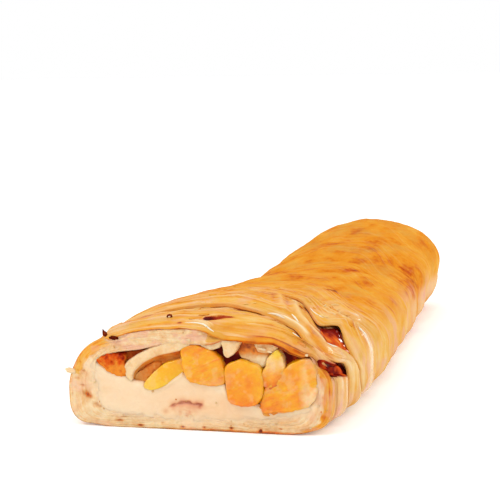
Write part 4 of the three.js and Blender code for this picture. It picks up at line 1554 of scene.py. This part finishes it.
def makeRoll():
    outer, inner = (roundCurve(roll[side], roll["rows"], False) for side in ("outer", "inner"))
    share = np.linspace(0, 1, roll["rows"])
    side = inner - outer
    wide = np.hypot(*side.T)
    side = side / wide[:, None]
    hollow = roll["hollow"] * smooth(share, -0.2, 0.35) * smooth(1 - share, 0.0, 0.35)
    # profile: place across (0 outer edge, 1 inner edge of the pale rim, then mm into the hollow), and y
    profile = [(0, 0, roll["back"]), (0, 0, 20), (0, 0, 8), (0, 0, 3), (0, 0, 1.2), (0.06, 0, 0.5)]
    profile += [(s, 0, 0.16 * (1 - math.sin(math.pi * s))) for s in np.linspace(0.12, 0.88, 14)]
    profile += [(0.95, 0, 0.35), (1, 0, 0.9)]
    profile += [(1, h, 0.9 + 2.6 * h + 1.8 * math.sin(h * math.pi)) for h in np.linspace(0.06, 1, 18)]
    profile += [(1, 1, 7), (1, 1, 16), (1, 0.6, roll["back"])]
    rings, brown = [], []
    for across, into, y in profile:
        flat = outer + side * (wide * across + hollow * into)[:, None]
        waves = 0.5 * noise(flat[:, 0], y, flat[:, 1], (2.2, 3, 2.2), 151, 3)
        rings.append(np.stack([flat[:, 0], y + roll["front"] + waves * (y < 3), flat[:, 1]], -1))
        tone = 0.14 if into == 0 and y < 3 else 0.7 + 0.04 * into
        mottled = 0.14 * noise(flat[:, 0], y, flat[:, 1], 3, 153, 2)
        brown.append(tone + mottled + 0.3 * (into > 0) * smooth(share, 0.55, 0.95))
    rings = np.array(rings).transpose(1, 0, 2)
    brown = np.array(brown).T
    plain = np.zeros_like(brown)
    glazed = 0.4 * smooth(brown, 0.45, 0.6) * smooth(brown, 0.9, 0.7)
    points, faces, values = loft(rings, {"bake_and_shade": brown, "blush": plain, "skin": glazed})
    points = roughen(points, faces, 0.22, 3.0, 155, 3)
    return makePiece("dough_roll", (points, faces, values), crumbLook, ["pastry"])


shreds = {
    # scraps of dough that hang from the roof: outline in x and z, front edge, depth, how brown from left to
    # right, and how much browner towards the roof
    "shred_one": {
        "outline": [(0.8, 36.3), (6.9, 36.6), (9.6, 35.2), (9, 32.2), (5.5, 31.1), (2.6, 31.6), (0.7, 33.2)],
        "front": 1.4, "depth": 7, "brown": (0.02, 0.15),
    },
    "shred_two": {
        "outline": [(10, 35.8), (17.2, 35.7), (15.7, 31.5), (12.7, 28.4), (10.9, 29.4), (10.1, 31.8)],
        "front": 0.4, "depth": 7, "brown": (0.1, 0.4),
    },
    "shred_three": {
        "outline": [(14.8, 35.3), (20.1, 35.6), (27, 35.1), (28.2, 31), (27.3, 29), (25.7, 25.5),
                    (22.5, 26.1), (19.2, 27.6), (16.1, 29.3)],
        "front": 2.4, "depth": 5, "brown": (0.1, 0.05), "above": 0.75,
    },
    "shred_four": {
        "outline": [(22.9, 35.6), (30.6, 35.7), (31.4, 32.9), (29.1, 30.9), (25.6, 30.8), (23.4, 31.6)],
        "front": 1.0, "depth": 5, "brown": (0.25, 0.3),
    },
    "roll_lining": {
        "outline": [(-27, 17.2), (-25.6, 20.4), (-22, 22.6), (-17.6, 25.4), (-14.8, 24.4), (-19.6, 19.6),
                    (-21.6, 17.4)],
        "front": 2.6, "depth": 7, "brown": (0.66, 0.76),
    },
    "shred_five": {
        "outline": [(31, 35.5), (39.9, 34.9), (41.8, 31.9), (38.4, 30.6), (34.7, 32), (32, 33.5)],
        "front": 2.0, "depth": 8, "brown": (0.7, 0.6),
    },
}


def makeShred(name, look, seed):
    front = look["front"]
    rings = cutPiece(look["outline"], front, look["depth"], (0, 0.12), 90, 16, 10, 0.8)
    x, y, z = np.moveaxis(rings, -1, 0)
    share = (x - x.min()) / (x.max() - x.min())
    brown = mix(*look["brown"], share) + 0.2 * noise(x, y, z, 2.2, seed, 3)
    brown += 0.3 * smooth(y, front + 1.5, front + 5)
    brown += look.get("above", 0.0) * smooth(z, z.min() + 2.5, z.min() + 6)
    plain = np.zeros_like(brown)
    glazed = 0.3 * smooth(brown, 0.45, 0.62) * smooth(brown, 0.95, 0.75)
    points, faces, values = loft(rings, {"bake_and_shade": brown, "blush": plain, "skin": glazed})
    points = roughen(points, faces, 0.5, 2.6, seed, 3)
    return makePiece(name, (points, faces, values), crumbLook, ["pastry"])


jamCut = {  # jam that runs out between the dough and the roll
    "outline": [(-40.4, 26.1), (-36.3, 28), (-32.4, 29), (-29.6, 28.2), (-28.6, 23.4), (-28.6, 20.2),
                (-32, 19.4), (-35.5, 21.2), (-37.6, 22.8)],
    "front": 0.3, "depth": 15, "lean": (0, -0.1), "lump": 0.9,
    "bright": 1.0, "level": 22, "darker": 0.065,  # brightness at this height, and its loss with each mm up
}


def makeJamCut():
    rings = cutPiece(jamCut["outline"], jamCut["front"], jamCut["depth"], jamCut["lean"], 110, 18, 12)
    x, y, z = np.moveaxis(rings, -1, 0)
    bright = jamCut["bright"] - jamCut["darker"] * (z - jamCut["level"]) + 0.42 * noise(x, y, z, 1.8, 161, 3)
    points, faces, values = loft(rings, {"bright": bright})
    points = roughen(points, faces, jamCut["lump"], 1.8, 163, 3)
    return makePiece("jam_at_cut", (points, faces, values), jamLook, ["jam_cut"])


view = {  # place in mm, angles in degrees
    "place": (164.2, -697.8, 135.7), "yaw": 15.05, "pitch": 6.84, "roll": -0.88, "lens": 108.4,
    "sensor": 36.0,
}
lamps = {  # place in metres, size, watts, what it points at
    "key": ((-0.55, -0.8, 1.0), 0.5, 4.5, (0, -0.05, 0.02)),
    "glint": ((0.1, -0.7, 1.3), 0.03, 1.2, (0.03, -0.12, 0.03)),
    "back_glint": ((0.65, 0.67, 0.55), 0.1, 1.2, (0.05, -0.13, 0.03)),
    "rim": ((0.9, 0.5, 0.9), 0.5, 1.6, (0, 0, 0.02)),
}
jamPockets = {
    # glossy jam in the open folds: its node, pocket, strip below it, how far it stands over the floor there.
    # bright spots: y, turn, reach, how much. glints, where it lies flat to the light: y, turn, reach
    "jam_upper": {
        "node": "jam_fold_upper", "pocket": "upper", "strip": 2, "over": 1.1, "bright": 0.34,
        "spots": [(25.5, 31, 5, 0.42), (31, 29, 4, 0.22), (38, 18, 4, 0.35), (44, 40, 5, -0.3),
                  (35, 40, 5, -0.15)],
        "glints": [(46, 34, 0.9), (42.5, 31.5, 0.8), (37.5, 27.5, 1.0), (38.6, 23, 0.9), (37.2, 18.5, 0.7)],
    },
    # the lower pocket lies under the edge of strip 2: its dark jam is partly painted shade
    "jam_lower": {
        "node": "jam_fold_lower", "pocket": "lower", "strip": 1, "over": 0.5, "bright": 0.3,
        "spots": [(4, 20, 4, 0.2), (15, 12, 5, 0.1), (26, 10, 5, -0.5), (10, 17, 4, -0.1), (20, 6, 4, 0.25)],
        "glints": [],
    },
}


def facetSlopes(y, turn, turnBeside, out):
    # rise along y and round the loaf of a facet there in which the lamp behind shows to the camera
    spots = skinPoint(np.array([y, y, y + 0.1]), np.array([turn, turnBeside, turn]), np.full(3, out))
    lengthwise, around = spots[2] - spots[0], spots[1] - spots[0]
    outward = np.cross(lengthwise, around)
    outward = outward / np.linalg.norm(outward) * np.sign(outward[0])
    place = toFrame(spots[:1])[0]
    ways = [np.array(view["place"]) * 0.001 - place, np.array(lamps["back_glint"][0]) - place]
    half = sum(way / np.linalg.norm(way) for way in ways)
    return [-half @ side / np.linalg.norm(side) / (half @ outward) for side in (lengthwise, around)]


def makeJamPocket(name, look, seed):
    turns, arcs = turnColumns(2000, -math.pi / 2, math.pi / 2)
    i, pocket = look["strip"], pockets[look["pocket"]]

    def arcAt(degrees):
        return np.interp(math.radians(degrees), turns, arcs)

    ring = roundCurve([(y, arcAt(degrees)) for y, degrees in pocket["outline"]], 150)
    middle = ring.mean(0)
    reachAll = np.hypot(*(ring - middle).T).mean()

    def height(y, arc, share, level):
        # how far out of the plain loaf the jam stands; share is 0 in its middle and 1 at its rim
        turn = np.interp(arc, arcs, turns)
        front, lip, opened = lipShape(i, turn, arc)
        t = (y - front) / np.maximum(lipShape(i + 1, turn, arc)[0] - front, 1)
        relief = crustAt(y, turn, arc, y - front, i)[0]
        lumps = 0.6 * noise(arc, y, 0, (5, 6, 1), seed, 2) + 0.16 * noise(arc, y, 0, 1.6, seed + 1, 2)
        out = stripHeight(t, turn) * mix(lip, 1.0, np.clip(t, 0, 1)) + level
        return out + mix(lumps - pocket["deep"], relief, smooth(share, 0.55, 0.95))

    facets = []
    for y, degrees, reach in look["glints"]:
        arc = arcAt(degrees)
        share = np.array([np.hypot(y - middle[0], arc - middle[1]) / reachAll])
        out = height(np.array([y]), np.array([arc]), share, look["over"])[0]
        beside = np.interp(arc + 0.1, arcs, turns)
        facets.append((y, arc, reach, out, *facetSlopes(y, np.interp(arc, arcs, turns), beside, out)))

    rings, bright, glint = [], [], []
    steps = [(q, look["over"] * (1 - q ** 5)) for q in np.linspace(0.03, 1, 50)]
    steps += [(1.0, -0.5), (0.98, -1.2), (0.8, -1.6), (0.5, -1.6), (0.2, -1.6)]
    for q, level in steps:
        y, arc = (middle + (ring - middle) * q).T
        out = height(y, arc, np.full(len(y), q), level)
        shade = look["bright"] + 0.3 * noise(arc, y, 0, 3.5, seed + 3, 3)
        # darker spots under the lips are partly painted shade
        for spotY, degrees, reach, more in look["spots"]:
            shade += more * bump(np.hypot(y - spotY, arc - arcAt(degrees)), reach)
        wet = np.zeros(len(y))
        for spotY, spotArc, reach, high, lengthwise, around in facets if level > 0 else ():
            near = smooth(np.hypot(y - spotY, arc - spotArc), 1.5 * reach, 0.8 * reach)
            out = mix(out, high + lengthwise * (y - spotY) + around * (arc - spotArc), near)
            wet = np.maximum(wet, near)
        rings.append(skinPoint(y, np.interp(arc, arcs, turns), out))
        bright.append(shade)
        glint.append(wet)
    body = loft(np.array(rings), {"bright": np.array(bright), "glint": np.array(glint)})
    return makePiece(name, body, jamLook, [look["node"]])


makeCream()
makeFruitBed()
for seed, (name, look) in enumerate(peaches.items()):
    makePeach(name, look, 201 + 13 * seed)
print("cream and peaches")
makeRoll()
for seed, (name, look) in enumerate(shreds.items()):
    makeShred(name, look, 301 + 11 * seed)
makeJamCut()
for seed, (name, look) in enumerate(jamPockets.items()):
    makeJamPocket(name, look, 401 + 9 * seed)
print("roll, shreds and jam")


# crumbs, flakes, threads of painted highlight and burnt bits

class Scatter(Nodes):
    # a geometry tree: a mesh goes in and out, with a named input for each size

    def __init__(self, name, sizes):
        super().__init__(bpy.data.node_groups.new(name, "GeometryNodeTree"))
        sockets = self.tree.interface
        sockets.new_socket("Mesh", in_out="OUTPUT", socket_type="NodeSocketGeometry")
        sockets.new_socket("Mesh", in_out="INPUT", socket_type="NodeSocketGeometry")
        for key, number in sizes.items():
            kind = "NodeSocketInt" if isinstance(number, int) else "NodeSocketFloat"
            sockets.new_socket(key, in_out="INPUT", socket_type=kind).default_value = number
        self.into = self.node("NodeGroupInput").outputs
        self.out = self.node("NodeGroupOutput").inputs

    def random(self, low, high, seed):
        ends = {2: low, 3: high, 8: seed}
        return self.node("FunctionNodeRandomValue", ends, data_type="FLOAT").outputs[1]

    def strewn(self, shape, material, turned, stretch):
        # points by weight, one shape on each, then plain mesh with its material
        weight = self.node("GeometryNodeInputNamedAttribute", {"Name": "scatter"}, data_type="FLOAT")
        many = self.math("MULTIPLY", weight.outputs[0], self.into["Density"])
        spread = self.node("GeometryNodeDistributePointsOnFaces", {
            "Mesh": self.into["Mesh"], "Density": many, "Seed": self.into["Seed"],
        })
        marked = self.node("GeometryNodeStoreNamedAttribute", {
            "Geometry": spread.outputs["Points"], "Name": "bake_and_shade", "Value": self.random(0.05, 0.75, 3),
        }, data_type="FLOAT", domain="POINT")
        upright = {"Vector": spread.outputs["Normal"]}
        aligned = self.node("FunctionNodeAlignRotationToVector", upright, axis="Z")
        swing = self.node("ShaderNodeCombineXYZ", {"Z": self.random(-turned, turned, 5)})
        rotated = self.node("FunctionNodeRotateRotation", {
            "Rotation": aligned.outputs[0], "Rotate By": swing.outputs[0],
        }, rotation_space="LOCAL")
        scale = self.node("ShaderNodeCombineXYZ", {
            axis: self.random(*ends, seed) for axis, ends, seed in zip("XYZ", stretch, (7, 9, 11))
        })
        placed = self.node("GeometryNodeInstanceOnPoints", {
            "Points": marked.outputs[0], "Instance": shape, "Rotation": rotated.outputs[0],
            "Scale": scale.outputs[0],
        })
        real = self.node("GeometryNodeRealizeInstances", {"Geometry": placed.outputs[0]})
        wave = self.node("ShaderNodeTexNoise", {"Scale": self.into["Rough Scale"], "Detail": 1.0})
        centred = self.node("ShaderNodeVectorMath", {
            0: wave.outputs["Color"], 1: (0.5, 0.5, 0.5),
        }, operation="SUBTRACT")
        sized = self.node("ShaderNodeVectorMath", {
            0: centred.outputs[0], "Scale": self.into["Rough"],
        }, operation="SCALE")
        moved = self.node("GeometryNodeSetPosition", {
            "Geometry": real.outputs[0], "Offset": sized.outputs[0],
        })
        done = self.node("GeometryNodeSetMaterial", {
            "Geometry": moved.outputs[0], "Material": material,
        })
        self.feed(self.out[0], done.outputs[0])
        return self.tree


crumbs = {"Density": 30000.0, "Size": 0.00036, "Rough": 0.0004, "Rough Scale": 2600.0, "Seed": 4}  # metres
flakes = {
    "Density": 6000.0, "Length": 0.003, "Width": 0.0011, "Thickness": 0.00014, "Curl": 30.0,
    "Rough": 0.0006, "Rough Scale": 500.0, "Seed": 8,
}


def crumbTree():
    tree = Scatter("crumbs", crumbs)
    ball = tree.node("GeometryNodeMeshIcoSphere", {"Radius": tree.into["Size"], "Subdivisions": 3})
    return tree.strewn(ball.outputs[0], crumbLook[0], 3.1, ((0.5, 1.7), (0.5, 1.3), (0.4, 0.9)))


def flakeTree():
    # thin sheets, bent lengthwise
    tree = Scatter("flakes", flakes)
    size = tree.node("ShaderNodeCombineXYZ", {
        "X": tree.into["Length"], "Y": tree.into["Width"], "Z": tree.into["Thickness"],
    })
    sheet = tree.node("GeometryNodeMeshCube", {
        "Size": size.outputs[0], "Vertices X": 11, "Vertices Y": 5, "Vertices Z": 2,
    })
    spot = tree.node("ShaderNodeSeparateXYZ", {0: tree.node("GeometryNodeInputPosition").outputs[0]})
    bent = tree.math("MULTIPLY", tree.math("MULTIPLY", spot.outputs[0], spot.outputs[0]), tree.into["Curl"])
    lift = tree.node("ShaderNodeCombineXYZ", {"Z": tree.math("ADD", bent, 0.00004)})
    curled = tree.node("GeometryNodeSetPosition", {
        "Geometry": sheet.outputs["Mesh"], "Offset": lift.outputs[0],
    })
    return tree.strewn(curled.outputs[0], crustLook[0], 0.5, ((0.5, 1.5), (0.4, 1.3), (0.8, 1.2)))


def threesOf(items, key, kind=float):
    # the three numbers that every item of a mesh has under this key
    found = np.empty(len(items) * 3, kind)
    items.foreach_get(key, found)
    return found.reshape(-1, 3)


def strewnOn(name, pieces, weigh):
    # the triangles of these pieces that have any weight, as one mesh with the attribute scatter
    points, corners, weights = [], [], []
    for piece in pieces:
        mesh = piece.data
        mesh.calc_loop_triangles()
        spots, normals = threesOf(mesh.vertices, "co"), threesOf(mesh.vertices, "normal")
        triangles = threesOf(mesh.loop_triangles, "vertices", np.int64)
        x, y, z = (spots.T - np.array([[0], [cutPlane], [0]])) * 1000
        x -= loaf["middleShift"]
        weight = weigh(x, y, z, normals)
        triangles = triangles[(weight[triangles] > 0.02).all(1)]
        corners.append(triangles + sum(len(p) for p in points))
        points.append(spots)
        weights.append(weight)
    points, corners, weights = np.concatenate(points), np.concatenate(corners), np.concatenate(weights)
    used, corners = np.unique(corners, return_inverse=True)
    mesh = bpy.data.meshes.new(name)
    mesh.from_pydata(points[used].tolist(), [], corners.reshape(-1, 3).tolist())
    scatter = mesh.attributes.new("scatter", "FLOAT", "POINT")
    scatter.data.foreach_set("value", weights[used].astype(np.float32))
    return mesh


def strew(name, base, tree):
    holder = addObject(name + "_base", base)
    modifier = holder.modifiers.new(name, "NODES")
    modifier.node_group = tree
    for item in tree.interface.items_tree:
        if item.in_out == "INPUT" and item.socket_type != "NodeSocketGeometry":
            modifier[item.identifier] = item.default_value
    evaluated = holder.evaluated_get(bpy.context.evaluated_depsgraph_get())
    mesh = bpy.data.meshes.new_from_object(evaluated)
    bpy.data.objects.remove(holder)
    mesh.name = name
    mesh.shade_smooth()
    piece = addObject(name, mesh)
    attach(piece, "root")
    return piece


def onCut(x, y, z, normals):
    front = smooth(-normals[:, 1], 0.5, 0.8) * (y < 3) * (z > 1.5)
    return front * smooth(noise(x, 0, z, 6, 501, 2), -0.3, 0.5)


def onCrust(x, y, z, normals):
    upper = smooth(normals[:, 2], 0.25, 0.5) * smooth(y, 1, 5) * (z > 18)
    return upper * smooth(y, 170, 40) * smooth(noise(x, y, z, 12, 503, 2), -0.2, 0.5)


cutPieces = [shell, bpy.data.objects["cream_layer"], bpy.data.objects["dough_roll"]]
crustPieces = [bpy.data.objects[f"strip_{i:02d}"] for i in range(1, 6)]
made = strew("loose_crumbs", strewnOn("crumb_ground", cutPieces, onCut), crumbTree())
print("crumbs", len(made.data.polygons))
made = strew("loose_flakes", strewnOn("flake_ground", crustPieces, onCrust), flakeTree())
print("flakes", len(made.data.polygons))

scene = bpy.context.evaluated_depsgraph_get()
surfaces = [BVHTree.FromObject(piece, scene) for piece in [shell] + crustPieces[:3]]


def lookedAt(x, z):
    # where the line of sight through (x, z) in the plane of the cut meets the crust: place and outward way
    eye = Vector([c * 0.001 for c in view["place"]])
    aim = Vector(toFrame([x, 0.0, z])[0])
    hits = [surface.ray_cast(eye, (aim - eye).normalized()) for surface in surfaces]
    place, way, face, far = min((hit for hit in hits if hit[0] is not None), key=lambda hit: hit[3])
    way = way if way.dot(eye - place) > 0 else -way
    return (np.array(place) - toFrame([0, 0, 0])[0]) * 1000, np.array(way)


threads = [  # painted highlights: thin near-white threads where the crust catches the light: route in x and z as seen from the front, half width
    ([(-4.2, 41.6), (-0.4, 41.6), (2.6, 41.2), (4.3, 40.4), (5.8, 39.2), (7.2, 38.4)], 0.42),
    ([(44.2, 48.4), (45.4, 47.0), (47.2, 45.8), (49.2, 44.8)], 0.36),
    ([(37.2, 45.9), (38.3, 44.7), (39.7, 43.0)], 0.45),
    ([(62.4, 41.6), (63.6, 40.3), (65.0, 39.0)], 0.6),
    ([(28.0, 46.0), (31.2, 45.6), (34.5, 44.2)], 0.4),
    ([(37.4, 39.0), (38.9, 37.9), (40.5, 37.1)], 0.5),
    ([(55.6, 36.0), (56.6, 35.2), (57.4, 34.5)], 0.4),
    ([(50.4, 35.6), (52.4, 34.6), (54.2, 34.2)], 0.4),
]


def evenPaint(rings, paint):
    return {key: np.full(rings.shape[:2], number) for key, number in paint.items()}


def makeHighlightThreads():
    around = np.linspace(0, 2 * math.pi, 12, endpoint=False)[None, :, None]
    # pale 1.45 makes them near white: painted highlights laid as thin threads
    paint = {**plainPaint, "bake_and_shade": 0.1, "pale": 1.45, "gloss": 0.3}
    bodies = []
    for route, wide in threads:
        hits = [lookedAt(x, z) for x, z in roundCurve(route, 40, False)]
        centre, way = (np.array(found) for found in zip(*hits))
        # a thread ends where the crust steps away from it
        steps = np.linalg.norm(np.diff(centre, axis=0), axis=1)
        keep = np.concatenate([[True], steps < 1.5]).cumprod().astype(bool)
        centre, way = centre[keep], way[keep]
        if len(centre) < 6:
            continue
        side = np.cross(np.gradient(centre, axis=0), way)
        side = side / np.linalg.norm(side, axis=1)[:, None]
        reach = wide * np.sin(np.linspace(0.12, math.pi - 0.12, len(centre))) ** 0.6
        section = np.cos(around) * side[:, None] + 0.55 * np.sin(around) * way[:, None]
        rings = centre[:, None] + reach[:, None, None] * section
        bodies.append(loft(rings, evenPaint(rings, paint)))
    made = makePiece("painted_highlight_threads", joined(bodies), crustLook)
    print("threads", len(bodies), len(made.data.polygons))


makeHighlightThreads()
beadX, beadY, beadZ = lookedAt(-10.2, 43.6)[0]
burntBits = [  # dark specks: x, y, z, reach across, up and out, lean in degrees
    (beadX, beadY, beadZ, 1.2, 1.05, 0.7, 0), (-32.6, -0.2, 34.8, 2.0, 0.75, 0.5, -4),
    (-36.9, 0.9, 36.5, 1.4, 1.7, 0.8, 24),
]
paleBits = [  # light scraps: x, y, z, reach across, up and out, lean in degrees
    (-51.4, 2.0, 21.0, 2.4, 1.1, 0.9, -14), (beadX + 0.1, beadY - 0.6, beadZ, 0.5, 0.4, 0.3, 0),
    (22.8, 3.0, 30.4, 1.3, 1.3, 0.5, -30), (25.6, 0.6, 32.2, 1.6, 0.45, 0.5, -12),
    (28.6, 0.2, 31.4, 0.9, 0.4, 0.4, -14), (42.6, 0.2, 30.6, 0.7, 0.5, 0.4, 0),
]


def roughLump(spot, reach, lean, seed, pointed):
    # pointed draws its upper end to a tip
    around = np.linspace(0, 2 * math.pi, 24, endpoint=False)
    rings = []
    for polar in np.linspace(0.1, math.pi - 0.1, 15):
        height = math.cos(polar)
        wide = math.sin(polar) * (1 - pointed * (height + 1) / 2)
        x, z = reach[0] * wide * np.cos(around), np.full(24, reach[1] * height)
        y = reach[2] * wide * np.sin(around)
        grow = 1 + 0.25 * noise(x + spot[0], y, z, 0.7, seed, 2)
        x, y, z = x * grow, y * grow, z * grow
        c, n = math.cos(lean), math.sin(lean)
        rings.append(np.stack([spot[0] + x * c - z * n, spot[1] + y, spot[2] + x * n + z * c], -1))
    return np.array(rings)


def makeBits(name, bits, paint, look):
    bodies = []
    for k, (x, y, z, across, up, out, lean) in enumerate(bits):
        rings = roughLump((x, y, z), (across, up, out), math.radians(lean), 511 + k, 0.8 * (up > across))
        bodies.append(loft(rings, evenPaint(rings, paint)))
    return makePiece(name, joined(bodies), look)


makeBits("burnt_bits", burntBits, {}, charLook)
makeBits("pale_scraps", paleBits, {"bake_and_shade": 0.08, "blush": 0.15, "skin": 0.0}, crumbLook)
print("specks and scraps")


# camera, light and floor

def setCamera():
    data = bpy.data.cameras.new("camera")
    data.lens = view["lens"]
    data.sensor_width = view["sensor"]
    data.clip_start = 0.01
    data.clip_end = 60
    camera = addObject("camera", data)
    camera.location = [c * 0.001 for c in view["place"]]
    aim = Euler((math.radians(90 - view["pitch"]), 0, math.radians(view["yaw"]))).to_quaternion()
    camera.rotation_euler = (aim @ Quaternion((0, 0, 1), math.radians(view["roll"]))).to_euler()
    bpy.context.scene.camera = camera


def setLight():
    for name, (place, size, watts, target) in lamps.items():
        data = bpy.data.lights.new(name, "AREA")
        data.size = size
        data.energy = watts
        lamp = addObject(name, data)
        lamp.location = place
        lamp.rotation_euler = (Vector(target) - Vector(place)).to_track_quat("-Z", "Y").to_euler()
    world = bpy.data.worlds.new("studio")
    world.use_nodes = True
    world.node_tree.nodes["Background"].inputs["Color"].default_value = (1, 1, 1, 1)
    world.node_tree.nodes["Background"].inputs["Strength"].default_value = 1.0
    bpy.context.scene.world = world
    bpy.context.scene.view_settings.view_transform = "Standard"


def makeFloor():
    mesh = bpy.data.meshes.new("floor")
    reach = 25.0
    corners = [(-reach, -reach, 0), (reach, -reach, 0), (reach, reach, 0), (-reach, reach, 0)]
    mesh.from_pydata(corners, [], [(0, 1, 2, 3)])
    floor = addObject("floor", mesh)
    paper = Finish("pale_paper", {
        "Roughness": 0.9, "Specular IOR Level": 0.1, "Emission Color": (1, 1, 1, 1),
        "Emission Strength": 0.16,
    })
    greys = [(0.0, (0.93, 0.93, 0.93, 1)), (1.0, (0.96, 0.96, 0.96, 1))]
    tint = paper.ramp(paper.noise(6, 2, 0.5), greys)
    mesh.materials.append(paper.finish(tint))


setCamera()
setLight()
makeFloor()
print("stage set")
